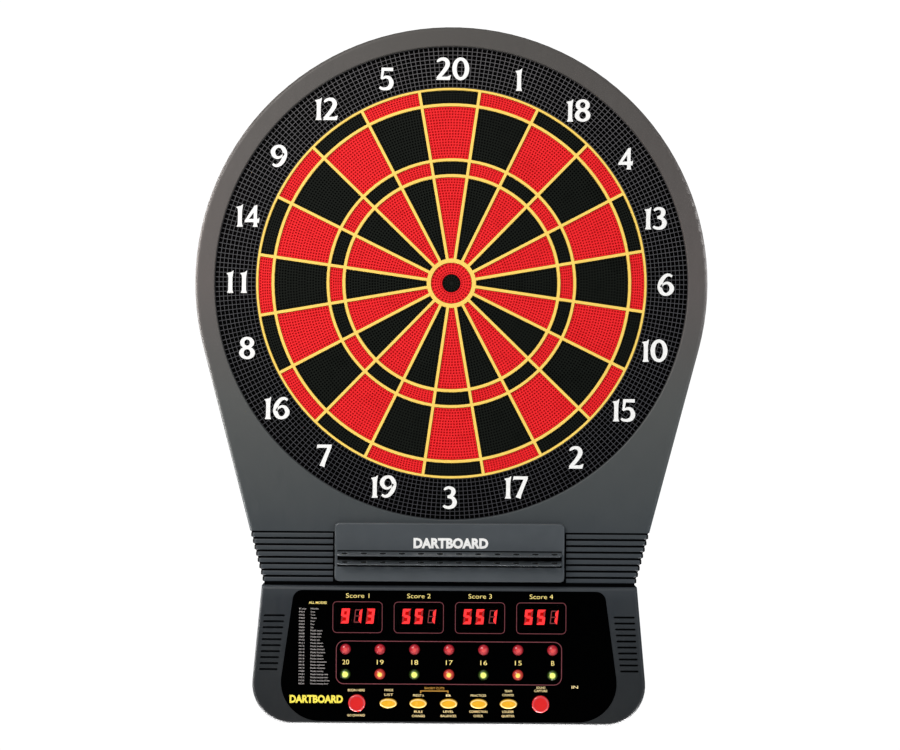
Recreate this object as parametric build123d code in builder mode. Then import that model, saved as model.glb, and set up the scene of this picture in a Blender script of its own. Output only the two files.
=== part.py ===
from build123d import *
import math
import os

# Electronic dartboard, in millimetres.
# X is to the right, Z is up, and the front looks towards -Y.
# The origin is the bull's centre, projected onto the wall.
# Depths are measured forward from the wall: a plane made by front(d) lies d in front of it.

# ---- driving dimensions ------------------------------------------------------------------------

# housing outline
HEAD_R = 258.2  # the round head, about the bull
SIDE_SLOPE = 0.2625  # how fast the straight sides close in, per millimetre of height
HEAD_FOOT_Z = -312.0  # the head's lower end, inside the console
CONSOLE_TOP_Z = -304.8
CONSOLE_BOTTOM_Z = -443.8
CONSOLE_TOP_HALF = 188.4
CONSOLE_FOOT_HALF = 201.2  # where the flaring sides would meet the bottom
CONSOLE_CORNER_R = 40.3
HEAD_DEPTH = 44.0
CONSOLE_DEPTH = 50.0
WALL = 3.0
EDGE_R = 4.0
MOUTH_R = 238.3  # the round opening for the target
MOUTH_LIP_R = 1.2
CONSOLE_FLOOR = 47.8  # outer face of the panel's recess
CONSOLE_FLOOR_BACK = 45.2

# ribs beside the dart rack
RIB_COUNT = 8
RIB_TOP_Z = -254.4  # centre of the top rib
RIB_PITCH = 6.36
RIB_HEIGHT = 4.7
RIB_RELIEF = 1.4
RIB_START_X = 117.3
CHANNEL_START_X = 114.9  # the ribs' channel starts just under the rack's edge

# dart rack
RACK_HALF = 115.4
RACK_TOP_Z = -241.3
RACK_BOTTOM_Z = -300.2
RACK_FACE = 49.0
RACK_POCKET_TOP_Z = -268.8
RACK_POCKET_BOTTOM_Z = -285.4
RACK_POCKET_FLOOR = 45.5
SHELF_FRONT = 62.0
SHELF_THICKNESS = 1.2
SHELF_FALL = 3.0  # each shelf is this much lower at its front edge than at its root
SHELF_FRONT_Z = (-273.6, -282.3)  # undersides of the front edges
SHELF_HALF = 112.6
DART_HOLES = 12
DART_PITCH = 19.05
DART_HOLE_R = 3.3
DART_HOLE_DEPTH = 55.6  # how far in front of the wall the holes' axes are

# target: ring bands of the spider, from the bull out
BULL_RING = (20.6, 24.9)
TREBLE_IN = (106.8, 110.0)
TREBLE_OUT = (122.9, 125.9)
DOUBLE_IN = (178.3, 181.3)
OUTER_RING = (194.5, 196.85)
SPOKE_WIDTH = 3.0
SECTORS = 20
SECTOR_ANGLE = 360 / SECTORS
TARGET_TURN = 0.9  # degrees anticlockwise that the spider and its beds sit off square in the ring
SPIDER_BACK = 28.3
SPIDER_FRONT = 41.5
SPIDER_EDGE_R = 0.5
SPIDER_RIM_R = 207.0
SPIDER_RIM = 1.5
SPIDER_SCREW_R = 203.0
BED_FRONT = 40.0
BED_BACK = 28.0
BED_FLANGE_BACK = 26.5
BED_GAP = 0.35
BED_FLANGE = 0.9
INNER_BULL_R = 8.9
OUTER_BULL_BORE = 9.3
NUMBERS = (20, 1, 18, 4, 13, 6, 10, 15, 2, 17, 3, 19, 7, 16, 8, 11, 14, 9, 12, 5)

# catch ring
CATCH_IN = 197.5
CATCH_OUT = 238.0
CATCH_FLANGE_R = 246.0
CATCH_BACK = 36.0
CATCH_FRONT = 40.0
CATCH_LIP = 0.7  # how far the flange under the rim stands in front of the ring
CATCH_SKIRT_BACK = 30.0
RING_SCREW_R = 242.3  # the circle of screws that hold the ring in the housing
RING_BOSS = (3.0, 5.1)  # radius and height
POST_R = 222.0  # the circle of posts that hold the backing board
POSTS = 8  # evenly spaced, as are the ring's own screws

# layers behind the beds
BOARD_R = 228.0
BOARD_BACK = 15.9
BOARD_FRONT = 19.9
MAT_R = 201.0
FOAM = 1.5
MEMBRANE_BACK = 21.5
MEMBRANE_SHEET = 0.3
MEMBRANE_STEP = 0.38
MAT_BACK = 22.7
MAT = 2.0

# console
PANEL_TOP_Z = -308.8
PANEL_BOTTOM_Z = -440.2
PANEL_TOP_HALF = 155.8
PANEL_FOOT_HALF = 174.2
PANEL_TOP_R = 10.0
PANEL_BOTTOM_R = 39.0
PANEL_THICKNESS = 2.0
DISPLAY_X = (-92.55, -30.85, 30.85, 92.55)
DISPLAY_Z = -336.0
DISPLAY = (40.0, 21.0, 8.0)  # width, height and depth
WINDOW = (44.0, 26.0)
LIGHT_X = tuple(34.6 * i for i in range(-3, 4))
UPPER_LIGHT_Z = -368.1
LOWER_LIGHT_Z = -393.0
LIGHT_R = 5.4
BUTTON_Z = -421.6
ROUND_X = (-92.0, 92.0)
OVAL_X = (-60.5, -30.5, 0.0, 30.0, 60.0)
ROUND_NAMES = ("start_button", "record_button")
OVAL_NAMES = ("menu_button", "options_button", "handicap_button", "audit_button", "volume_button")
BUTTON_R = 8.5
OVAL_HALF = (8.5, 4.6)
BUTTON_TOP = 53.0
BUTTON_GAP = 0.35
PCB_BACK = 37.8
PCB_FRONT = 39.4
PCB_HALF = 148.0
PCB_TOP_Z = -322.0
PCB_BOTTOM_Z = -430.0
SPEAKER = (-171.0, -361.4)
SPEAKER_R = 19.0
SPEAKER_COLLAR = 1.9
SLOTS = 10
SLOT_PITCH = 6.0
SLOT_HEIGHT = 2.0
SLOT_TOP_Z = -334.5
SLOT_MIDDLE_X = 175.4  # of the top slot; each lower one is shorter and further out
SLOT_STEP_OUT = 0.62
SLOT_LENGTH = 21.2
SLOT_SHORTENING = 0.3
MICROPHONE = (127.0, -414.0)
JACK_X = 135.0
JACK_DEPTH = 22.0
JACK_BARREL_R = 4.0

# screws
HEAD_HEIGHT = 1.9
SCREW_R = 1.5
PILOT_R = 1.55
CLEARANCE_R = 1.8

os.makedirs("parts", exist_ok=True)


def front(depth):
    """The plane that faces the player, this far in front of the wall."""
    return Plane.XZ.offset(depth)


def save(piece, name):
    """Label a finished piece and write its file."""
    piece.label = name
    export_step(piece, f"parts/{name}.step")


def polar(radius, angle):
    """A point on the front plane, in its own X and Y."""
    return (radius * math.cos(math.radians(angle)), radius * math.sin(math.radians(angle)))


def side_x(z):
    """The head's half width on its straight side, at height z."""
    tilt = math.atan(SIDE_SLOPE)
    return HEAD_R * math.cos(tilt) - SIDE_SLOPE * (-HEAD_R * math.sin(tilt) - z)


def symmetric(half_points):
    """A closed outline from its right half, given from top to bottom."""
    return half_points + [(-x, z) for x, z in reversed(half_points)]


# ---- outlines ----------------------------------------------------------------------------------

TANGENT_ANGLE = math.degrees(math.atan(SIDE_SLOPE))

with BuildSketch() as head_outline:
    Circle(HEAD_R)
    Polygon(*symmetric([polar(HEAD_R, -TANGENT_ANGLE), (side_x(HEAD_FOOT_Z), HEAD_FOOT_Z)]), align=None)

with BuildSketch() as console_outline:
    console_side = [(CONSOLE_TOP_HALF, CONSOLE_TOP_Z), (CONSOLE_FOOT_HALF, CONSOLE_BOTTOM_Z)]
    Polygon(*symmetric(console_side), align=None)
    fillet(console_outline.vertices().group_by(Axis.Y)[0], CONSOLE_CORNER_R)

with BuildSketch() as panel_outline:
    Polygon(*symmetric([(PANEL_TOP_HALF, PANEL_TOP_Z), (PANEL_FOOT_HALF, PANEL_BOTTOM_Z)]), align=None)
    fillet(panel_outline.vertices().group_by(Axis.Y)[0], PANEL_BOTTOM_R)
    fillet(panel_outline.vertices().group_by(Axis.Y)[-1], PANEL_TOP_R)

# ---- screw places ------------------------------------------------------------------------------

COVER_BOSS_R = 3.9
BOSS_FOOT = 2.7  # where the bosses for the rear cover end
COVER_SCREW_INSET = 8.0
HEAD_SCREWS = [polar(HEAD_R - COVER_SCREW_INSET, angle) for angle in (10, 50, 90, 130, 170)] + [
    (side * (side_x(z) - COVER_SCREW_INSET - 0.3), z) for z in (-130.0, -232.0) for side in (-1, 1)
]
CONSOLE_SCREWS = [(side * x, z) for x, z in ((178.5, -320.0), (188.0, -402.0)) for side in (-1, 1)] + [
    (x, CONSOLE_BOTTOM_Z + COVER_SCREW_INSET + 0.2) for x in (-110.0, 0.0, 110.0)
]
COVER_SCREWS = HEAD_SCREWS + CONSOLE_SCREWS
RING_SCREWS = [polar(RING_SCREW_R, 22.5 + 45 * i) for i in range(POSTS)]
BOARD_SCREWS = [polar(POST_R, SECTOR_ANGLE / 2 + 45 * i) for i in range(POSTS)]
RACK_SCREWS = [(side * 90.0, z) for z in (-255.0, -293.0) for side in (-1, 1)]
PCB_SCREWS = [(side * 141.0, z) for z in (-327.5, -409.0) for side in (-1, 1)]
SPIDER_SCREWS = [
    polar(SPIDER_SCREW_R, TARGET_TURN + SECTOR_ANGLE * (i + 0.5)) for i in range(0, SECTORS, 2)
]

# ---- front housing -----------------------------------------------------------------------------

# the channel that the ribs stand in, beside the dart rack, along its foot and round both sides
with BuildPart() as rib_channel:
    channel_top = RIB_TOP_Z + RIB_PITCH - RIB_HEIGHT / 2
    rack_foot = RACK_BOTTOM_Z + 0.6
    with BuildSketch(front(-1)):
        with Locations((0, (channel_top + CONSOLE_TOP_Z) / 2)):
            Rectangle(2 * HEAD_R, channel_top - CONSOLE_TOP_Z)
        with Locations((0, rack_foot)):
            Rectangle(
                2 * CHANNEL_START_X,
                channel_top - rack_foot + 1,
                align=(Align.CENTER, Align.MIN),
                mode=Mode.SUBTRACT,
            )
    extrude(amount=HEAD_DEPTH + 2)
    with BuildSketch(front(-2)):
        add(head_outline.sketch)
        offset(amount=-RIB_RELIEF, kind=Kind.INTERSECTION)
    extrude(amount=HEAD_DEPTH - RIB_RELIEF + 2, mode=Mode.SUBTRACT)

# each rib runs outwards over the face, round the edge and back to the wall
with BuildPart() as ribs:
    rib_half = 1.2
    for i in range(RIB_COUNT):
        z = RIB_TOP_Z - i * RIB_PITCH
        start = (RIB_START_X, rib_half - HEAD_DEPTH)
        corner = (side_x(z) - rib_half, rib_half - HEAD_DEPTH)
        with BuildLine(Plane.XY.offset(z)) as rib_path:
            FilletPolyline(start, corner, (corner[0], 0), radius=EDGE_R - rib_half)
        with BuildSketch(Plane(origin=(start[0], start[1], z), x_dir=(0, 1, 0), z_dir=(1, 0, 0))):
            RectangleRounded(2 * rib_half, RIB_HEIGHT, rib_half - 0.05)
        sweep(path=rib_path.line)
    mirror(about=Plane.YZ)

with BuildPart() as front_housing:
    # round head, rounded along its front edge
    with BuildSketch(front(0)):
        add(head_outline.sketch)
    extrude(amount=HEAD_DEPTH)
    fillet(front_housing.faces().sort_by(Axis.Y)[0].edges(), EDGE_R)
    add(rib_channel.part, mode=Mode.SUBTRACT)
    add(ribs.part)

# console block, standing proud of the head
with BuildPart() as console_block:
    with BuildSketch(front(0)):
        add(console_outline.sketch)
    extrude(amount=CONSOLE_DEPTH)
    fillet(console_block.faces().sort_by(Axis.Y)[0].edges(), EDGE_R - 0.5)

with front_housing:
    add(console_block.part)
    # hollow
    with BuildSketch(front(0)):
        add(head_outline.sketch)
        offset(amount=-WALL, kind=Kind.INTERSECTION)
    extrude(amount=HEAD_DEPTH - WALL, mode=Mode.SUBTRACT)
    with BuildSketch(front(0)):
        add(console_outline.sketch)
        offset(amount=-WALL, kind=Kind.INTERSECTION)
    extrude(amount=CONSOLE_FLOOR_BACK, mode=Mode.SUBTRACT)
    # mouth for the target, and the recess for the panel
    with BuildSketch(front(HEAD_DEPTH - WALL - 1)):
        Circle(MOUTH_R)
    extrude(amount=WALL + 2, mode=Mode.SUBTRACT)
    round_edges = front_housing.edges().filter_by(GeomType.CIRCLE)
    mouth_edges = round_edges.filter_by(lambda edge: abs(edge.radius - MOUTH_R) < 0.01)
    fillet(mouth_edges.sort_by(Axis.Y)[0], MOUTH_LIP_R)
    with BuildSketch(front(CONSOLE_FLOOR)):
        add(panel_outline.sketch)
    extrude(amount=CONSOLE_DEPTH, mode=Mode.SUBTRACT)
    # openings in the console's floor: displays, lights, buttons and microphone
    with BuildSketch(front(CONSOLE_FLOOR_BACK - 1)):
        with Locations(*[(x, DISPLAY_Z) for x in DISPLAY_X]):
            Rectangle(DISPLAY[0] + 1.2, DISPLAY[1] + 1)
        with Locations(*[(x, z) for x in LIGHT_X for z in (UPPER_LIGHT_Z, LOWER_LIGHT_Z)]):
            Circle(LIGHT_R + 0.4)
        with Locations(*[(x, BUTTON_Z) for x in ROUND_X]):
            Circle(BUTTON_R + BUTTON_GAP)
        with Locations(*[(x, BUTTON_Z) for x in OVAL_X]):
            Ellipse(OVAL_HALF[0] + BUTTON_GAP, OVAL_HALF[1] + BUTTON_GAP)
        with Locations(MICROPHONE):
            Circle(1.0)
    extrude(amount=4, mode=Mode.SUBTRACT)
    # sound slots on the left and matching vents on the right
    with BuildSketch(front(CONSOLE_FLOOR_BACK - 1)):
        for i in range(SLOTS):
            z = SLOT_TOP_Z - i * SLOT_PITCH
            with Locations(*[(side * (SLOT_MIDDLE_X + SLOT_STEP_OUT * i), z) for side in (-1, 1)]):
                SlotOverall(SLOT_LENGTH - SLOT_SHORTENING * i, SLOT_HEIGHT)
    extrude(amount=8, mode=Mode.SUBTRACT)
    # collar for the speaker
    with BuildSketch(front(CONSOLE_FLOOR_BACK)):
        with Locations(SPEAKER):
            Circle(SPEAKER_R + SPEAKER_COLLAR)
            Circle(SPEAKER_R + 0.3, mode=Mode.SUBTRACT)
    extrude(amount=-5)
    # bosses for the rear cover, the catch ring and the main board
    for places, top in ((HEAD_SCREWS, HEAD_DEPTH - WALL), (CONSOLE_SCREWS, CONSOLE_FLOOR_BACK)):
        with BuildSketch(front(BOSS_FOOT)):
            with Locations(*places):
                Circle(COVER_BOSS_R)
        extrude(amount=top + 0.5 - BOSS_FOOT)
    with BuildSketch(front(HEAD_DEPTH - WALL)):
        with Locations(*RING_SCREWS):
            Circle(RING_BOSS[0])
    extrude(amount=-RING_BOSS[1])
    with BuildSketch(front(CONSOLE_FLOOR_BACK)):
        with Locations(*PCB_SCREWS):
            Circle(3.5)
    extrude(amount=PCB_FRONT + 0.1 - CONSOLE_FLOOR_BACK)
    # pilot holes
    with BuildSketch(front(BOSS_FOOT)):
        with Locations(*COVER_SCREWS):
            Circle(PILOT_R)
    extrude(amount=17, mode=Mode.SUBTRACT)
    with BuildSketch(front(HEAD_DEPTH - WALL - RING_BOSS[1])):
        with Locations(*RING_SCREWS):
            Circle(PILOT_R)
    extrude(amount=6, mode=Mode.SUBTRACT)
    with BuildSketch(front(PCB_FRONT)):
        with Locations(*PCB_SCREWS):
            Circle(PILOT_R)
    extrude(amount=6.6, mode=Mode.SUBTRACT)
    # holes for the screws that hold the dart rack
    with BuildSketch(front(HEAD_DEPTH - WALL - 1)):
        with Locations(*RACK_SCREWS):
            Circle(CLEARANCE_R)
    extrude(amount=WALL + 2, mode=Mode.SUBTRACT)
    # hole for the power jack in the bottom wall
    with BuildSketch(Plane.XY.offset(CONSOLE_BOTTOM_Z - 1)):
        with Locations((JACK_X, -JACK_DEPTH)):
            Circle(JACK_BARREL_R + 0.3)
    extrude(amount=WALL + 2, mode=Mode.SUBTRACT)
save(front_housing.part, "front_housing")

# ---- rear cover --------------------------------------------------------------------------------

COVER_THICKNESS = 2.5
COVER_GAP = 0.4
UPPER_KEYHOLES = (203.2, 90.0)  # half spacing and height
LOWER_KEYHOLES = (152.4, -366.0)
KEYHOLE_R = 5.0
KEYHOLE_SLOT = 4.6

with BuildPart() as rear_cover:
    with BuildSketch(front(0)):
        add(head_outline.sketch)
        add(console_outline.sketch)
        offset(amount=-(WALL + COVER_GAP), kind=Kind.INTERSECTION)
    extrude(amount=COVER_THICKNESS)
    # keyholes: a round entry with a slot above it
    with BuildSketch(front(-1)):
        for half, z in (UPPER_KEYHOLES, LOWER_KEYHOLES):
            with Locations((half, z), (-half, z)):
                Circle(KEYHOLE_R)
            with Locations((half, z + 6), (-half, z + 6)):
                SlotOverall(16.0, KEYHOLE_SLOT, rotation=90)
        # vents low in the head
        with Locations(*[(x, z) for x in (-60.0, 60.0) for z in (-270.0, -278.0, -286.0)]):
            SlotOverall(60.0, 3.0)
    extrude(amount=COVER_THICKNESS + 2, mode=Mode.SUBTRACT)
    with Locations(*[Plane(origin=(x, 0, z), z_dir=(0, 1, 0)) for x, z in COVER_SCREWS]):
        CounterSinkHole(CLEARANCE_R, 3.1, depth=COVER_THICKNESS, counter_sink_angle=90)
save(rear_cover.part, "rear_cover")


def make_screws(name, places, head_depth, length, head_r=2.8, countersunk=False):
    """A group of identical screws whose heads' rear faces lie at head_depth, driven forwards."""
    with BuildPart() as screws:
        with BuildSketch(front(head_depth)):
            with Locations(*places):
                Circle(head_r)
        if countersunk:
            extrude(amount=head_r - SCREW_R, taper=45)
        else:
            extrude(amount=HEAD_HEIGHT)
        with BuildSketch(front(head_depth + (0.5 if countersunk else HEAD_HEIGHT))):
            with Locations(*places):
                Circle(SCREW_R)
        extrude(amount=length)
        # cross recess
        with BuildSketch(front(head_depth)):
            with Locations(*places):
                Rectangle(0.8, 3.2)
                Rectangle(3.2, 0.8)
        extrude(amount=1.0, mode=Mode.SUBTRACT)
    save(screws.part, name)


make_screws("cover_screws", COVER_SCREWS, 0.2, 15.0, head_r=2.7, countersunk=True)

# ---- catch ring --------------------------------------------------------------------------------

with BuildPart() as catch_ring:
    with BuildSketch(front(CATCH_BACK)):
        Circle(CATCH_FLANGE_R)
        Circle(CATCH_IN, mode=Mode.SUBTRACT)
    extrude(amount=CATCH_FRONT - CATCH_BACK)
    with BuildSketch(front(CATCH_FRONT)):
        Circle(CATCH_FLANGE_R)
        Circle(CATCH_OUT + 0.6, mode=Mode.SUBTRACT)
    extrude(amount=CATCH_LIP)
    # inner skirt that stands on the spider's rim
    with BuildSketch(front(CATCH_SKIRT_BACK)):
        Circle(CATCH_IN + 2.5)
        Circle(CATCH_IN, mode=Mode.SUBTRACT)
        with Locations(*SPIDER_SCREWS):
            Circle(3.6)
        Circle(CATCH_IN, mode=Mode.SUBTRACT)
    extrude(amount=CATCH_BACK - CATCH_SKIRT_BACK)
    # posts that hold the backing board
    with BuildSketch(front(BOARD_FRONT)):
        with Locations(*BOARD_SCREWS):
            Circle(4.0)
    extrude(amount=CATCH_BACK - BOARD_FRONT)
    # screw holes
    with BuildSketch(front(CATCH_SKIRT_BACK)):
        with Locations(*SPIDER_SCREWS):
            Circle(PILOT_R)
    extrude(amount=8, mode=Mode.SUBTRACT)
    with BuildSketch(front(BOARD_FRONT)):
        with Locations(*BOARD_SCREWS):
            Circle(PILOT_R)
    extrude(amount=14, mode=Mode.SUBTRACT)
    with BuildSketch(front(CATCH_BACK - 1)):
        with Locations(*RING_SCREWS):
            Circle(RING_BOSS[0] + 0.3)
    extrude(amount=8, mode=Mode.SUBTRACT)
save(catch_ring.part, "catch_ring")

make_screws("ring_screws", RING_SCREWS, HEAD_DEPTH - WALL - RING_BOSS[1] - HEAD_HEIGHT - 0.1, 5.5, head_r=4.6)

# ---- spider and beds ---------------------------------------------------------------------------

BED_BANDS = (
    (BULL_RING[1], TREBLE_IN[0]),
    (TREBLE_IN[1], TREBLE_OUT[0]),
    (TREBLE_OUT[1], DOUBLE_IN[0]),
    (DOUBLE_IN[1], OUTER_RING[0]),
)


def bed_outline(inner, outer, angle, gap):
    """One bed between two rings and two spokes. The gap shrinks it all round, and a negative gap grows it."""
    low = inner + gap
    high = outer - gap
    low_half = SECTOR_ANGLE / 2 - math.degrees(math.asin((SPOKE_WIDTH / 2 + gap) / low))
    high_half = SECTOR_ANGLE / 2 - math.degrees(math.asin((SPOKE_WIDTH / 2 + gap) / high))
    with BuildSketch() as bed:
        with BuildLine():
            ThreePointArc(polar(low, angle - low_half), polar(low, angle), polar(low, angle + low_half))
            Line(polar(low, angle + low_half), polar(high, angle + high_half))
            ThreePointArc(polar(high, angle + high_half), polar(high, angle), polar(high, angle - high_half))
            Line(polar(high, angle - high_half), polar(low, angle - low_half))
        make_face()
    return bed.sketch


with BuildPart() as spider:
    with BuildSketch(front(SPIDER_BACK)):
        Circle(OUTER_RING[1])
        Circle(BULL_RING[0], mode=Mode.SUBTRACT)
        add(
            [
                bed_outline(inner, outer, TARGET_TURN + i * SECTOR_ANGLE, 0)
                for i in range(SECTORS)
                for inner, outer in BED_BANDS
            ],
            mode=Mode.SUBTRACT,
        )
    extrude(amount=SPIDER_FRONT - SPIDER_BACK)
    fillet(spider.faces().sort_by(Axis.Y)[0].edges(), SPIDER_EDGE_R)
    # rim that is screwed to the catch ring
    with BuildSketch(front(SPIDER_BACK)):
        Circle(SPIDER_RIM_R)
        Circle(OUTER_RING[0], mode=Mode.SUBTRACT)
        with Locations(*SPIDER_SCREWS):
            Circle(CLEARANCE_R, mode=Mode.SUBTRACT)
    extrude(amount=SPIDER_RIM)
save(spider.part, "spider")

make_screws("spider_screws", SPIDER_SCREWS, SPIDER_BACK - HEAD_HEIGHT, 7.0)

for position, number in enumerate(NUMBERS):
    bed_angle = 90 + TARGET_TURN - position * SECTOR_ANGLE
    with BuildPart() as beds:
        with BuildSketch(front(BED_FLANGE_BACK)):
            for inner, outer in BED_BANDS:
                add(bed_outline(inner, outer, bed_angle, -BED_FLANGE))
        extrude(amount=BED_BACK - BED_FLANGE_BACK)
        with BuildSketch(front(BED_BACK)):
            for inner, outer in BED_BANDS:
                add(bed_outline(inner, outer, bed_angle, BED_GAP))
        extrude(amount=BED_FRONT - BED_BACK)
    save(beds.part, f"beds_{number}")

with BuildPart() as outer_bull:
    with BuildSketch(front(BED_FLANGE_BACK)):
        Circle(BULL_RING[0] + BED_FLANGE)
    extrude(amount=BED_BACK - BED_FLANGE_BACK)
    with BuildSketch(front(BED_BACK)):
        Circle(BULL_RING[0] - BED_GAP)
    extrude(amount=BED_FRONT - BED_BACK)
    # bore for the inner bull, wider behind for its flange
    with BuildSketch(front(BED_FLANGE_BACK - 1)):
        Circle(OUTER_BULL_BORE)
    extrude(amount=20, mode=Mode.SUBTRACT)
    with BuildSketch(front(BED_FLANGE_BACK - 1)):
        Circle(OUTER_BULL_BORE + 2)
    extrude(amount=4.2, mode=Mode.SUBTRACT)
save(outer_bull.part, "outer_bull")

with BuildPart() as inner_bull:
    with BuildSketch(front(BED_FLANGE_BACK)):
        Circle(OUTER_BULL_BORE + 1.4)
    extrude(amount=BED_BACK - BED_FLANGE_BACK)
    with BuildSketch(front(BED_BACK)):
        Circle(INNER_BULL_R)
    extrude(amount=BED_FRONT - BED_BACK)
save(inner_bull.part, "inner_bull")

# ---- layers behind the beds --------------------------------------------------------------------

with BuildPart() as backing_board:
    with BuildSketch(front(BOARD_BACK)):
        Circle(BOARD_R)
        with Locations(*BOARD_SCREWS):
            Circle(CLEARANCE_R, mode=Mode.SUBTRACT)
    extrude(amount=BOARD_FRONT - BOARD_BACK)
save(backing_board.part, "backing_board")

make_screws("board_screws", BOARD_SCREWS, BOARD_BACK - HEAD_HEIGHT, 15.0)

with BuildPart() as foam_pad:
    with BuildSketch(front(BOARD_FRONT)):
        Circle(MAT_R)
    extrude(amount=FOAM)
save(foam_pad.part, "foam_pad")

TAIL_WIDTH = 30.0
TAIL_START_Z = -208.0

# two printed sheets with a spacer between them; the rear one has a tab for the tail
with BuildPart() as membrane_layers:
    for i in range(3):
        with BuildSketch(front(MEMBRANE_BACK + MEMBRANE_STEP * i)):
            Circle(MAT_R)
            if i == 0:
                with Locations((0, TAIL_START_Z / 2)):
                    Rectangle(TAIL_WIDTH, -TAIL_START_Z)
        extrude(amount=MEMBRANE_SHEET)
save(membrane_layers.part, "membrane_layers")

with BuildPart() as rubber_mat:
    with BuildSketch(front(MAT_BACK)):
        Circle(MAT_R)
    extrude(amount=MAT)
save(rubber_mat.part, "rubber_mat")

# ---- dart rack ---------------------------------------------------------------------------------

dart_x = [(i - (DART_HOLES - 1) / 2) * DART_PITCH for i in range(DART_HOLES)]

with BuildPart() as dart_rack:
    rack_middle_z = (RACK_TOP_Z + RACK_BOTTOM_Z) / 2
    with BuildSketch(front(HEAD_DEPTH)):
        with Locations((0, rack_middle_z)):
            RectangleRounded(2 * RACK_HALF, RACK_TOP_Z - RACK_BOTTOM_Z, 5)
    extrude(amount=RACK_FACE - HEAD_DEPTH)
    fillet(dart_rack.faces().sort_by(Axis.Y)[0].edges(), 1.6)
    with BuildSketch(front(RACK_POCKET_FLOOR)):
        with Locations((0, (RACK_POCKET_TOP_Z + RACK_POCKET_BOTTOM_Z) / 2)):
            Rectangle(2 * SHELF_HALF, RACK_POCKET_TOP_Z - RACK_POCKET_BOTTOM_Z)
    extrude(amount=10, mode=Mode.SUBTRACT)
    with BuildSketch(front(HEAD_DEPTH)):
        with Locations(*RACK_SCREWS):
            Circle(PILOT_R)
    extrude(amount=4, mode=Mode.SUBTRACT)

# each shelf is a tongue that falls towards the front, with round front corners and twelve holes
SHELF_ROOT = RACK_POCKET_FLOOR - 0.5
with BuildPart() as shelves:
    for front_z in SHELF_FRONT_Z:
        with BuildSketch(Plane.YZ):
            with BuildLine():
                Polyline(
                    (-SHELF_ROOT, front_z + SHELF_FALL),
                    (-SHELF_FRONT, front_z),
                    (-SHELF_FRONT, front_z + SHELF_THICKNESS),
                    (-SHELF_ROOT, front_z + SHELF_FALL + SHELF_THICKNESS),
                    close=True,
                )
            make_face()
        extrude(amount=SHELF_HALF - 0.3, both=True)
    fillet(shelves.edges().filter_by(Axis.Z).group_by(Axis.Y)[0], 5)
    fillet(shelves.edges().filter_by(Axis.X).group_by(Axis.Y)[0], 0.45)
    for front_z in SHELF_FRONT_Z:
        with BuildSketch(Plane.XY.offset(front_z - 1)):
            with Locations(*[(x, -DART_HOLE_DEPTH) for x in dart_x]):
                Circle(DART_HOLE_R)
        extrude(amount=SHELF_FALL + SHELF_THICKNESS + 2, mode=Mode.SUBTRACT)

with dart_rack:
    add(shelves.part)
save(dart_rack.part, "dart_rack")

make_screws("rack_screws", RACK_SCREWS, HEAD_DEPTH - WALL - HEAD_HEIGHT, 6.5)

# ---- console panel, windows and buttons --------------------------------------------------------

PANEL_GAP = 0.15

with BuildPart() as display_panel:
    with BuildSketch(front(CONSOLE_FLOOR)):
        add(panel_outline.sketch)
        offset(amount=-PANEL_GAP)
        with Locations(*[(x, DISPLAY_Z) for x in DISPLAY_X]):
            RectangleRounded(*WINDOW, 2, mode=Mode.SUBTRACT)
        with Locations(*[(x, z) for x in LIGHT_X for z in (UPPER_LIGHT_Z, LOWER_LIGHT_Z)]):
            Circle(LIGHT_R + 0.3, mode=Mode.SUBTRACT)
        with Locations(*[(x, BUTTON_Z) for x in ROUND_X]):
            Circle(BUTTON_R + BUTTON_GAP, mode=Mode.SUBTRACT)
        with Locations(*[(x, BUTTON_Z) for x in OVAL_X]):
            Ellipse(OVAL_HALF[0] + BUTTON_GAP, OVAL_HALF[1] + BUTTON_GAP, mode=Mode.SUBTRACT)
        with Locations(MICROPHONE):
            Circle(0.8, mode=Mode.SUBTRACT)
    extrude(amount=PANEL_THICKNESS)
save(display_panel.part, "display_panel")

with BuildPart() as display_windows:
    with BuildSketch(front(CONSOLE_FLOOR)):
        with Locations(*[(x, DISPLAY_Z) for x in DISPLAY_X]):
            RectangleRounded(WINDOW[0] - 2 * PANEL_GAP, WINDOW[1] - 2 * PANEL_GAP, 1.9)
    extrude(amount=PANEL_THICKNESS)
save(display_windows.part, "display_windows")

BUTTON_FLANGE_BACK = 43.8
BUTTON_FLANGE = 1.0
BUTTON_DISH = 0.5

for name, x in zip(ROUND_NAMES, ROUND_X):
    with BuildPart() as round_button:
        with BuildSketch(front(BUTTON_FLANGE_BACK)):
            with Locations((x, BUTTON_Z)):
                Circle(BUTTON_R + BUTTON_GAP + 1.5)
        extrude(amount=BUTTON_FLANGE)
        with BuildSketch(front(BUTTON_FLANGE_BACK + BUTTON_FLANGE)):
            with Locations((x, BUTTON_Z)):
                Circle(BUTTON_R)
        extrude(amount=BUTTON_TOP - BUTTON_FLANGE_BACK - BUTTON_FLANGE)
        with BuildSketch(front(BUTTON_TOP - BUTTON_DISH)):
            with Locations((x, BUTTON_Z)):
                Circle(BUTTON_R - 2.0)
        extrude(amount=BUTTON_DISH, mode=Mode.SUBTRACT)
        fillet(round_button.faces().sort_by(Axis.Y)[0].outer_wire().edges(), 1.2)
    save(round_button.part, name)

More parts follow.
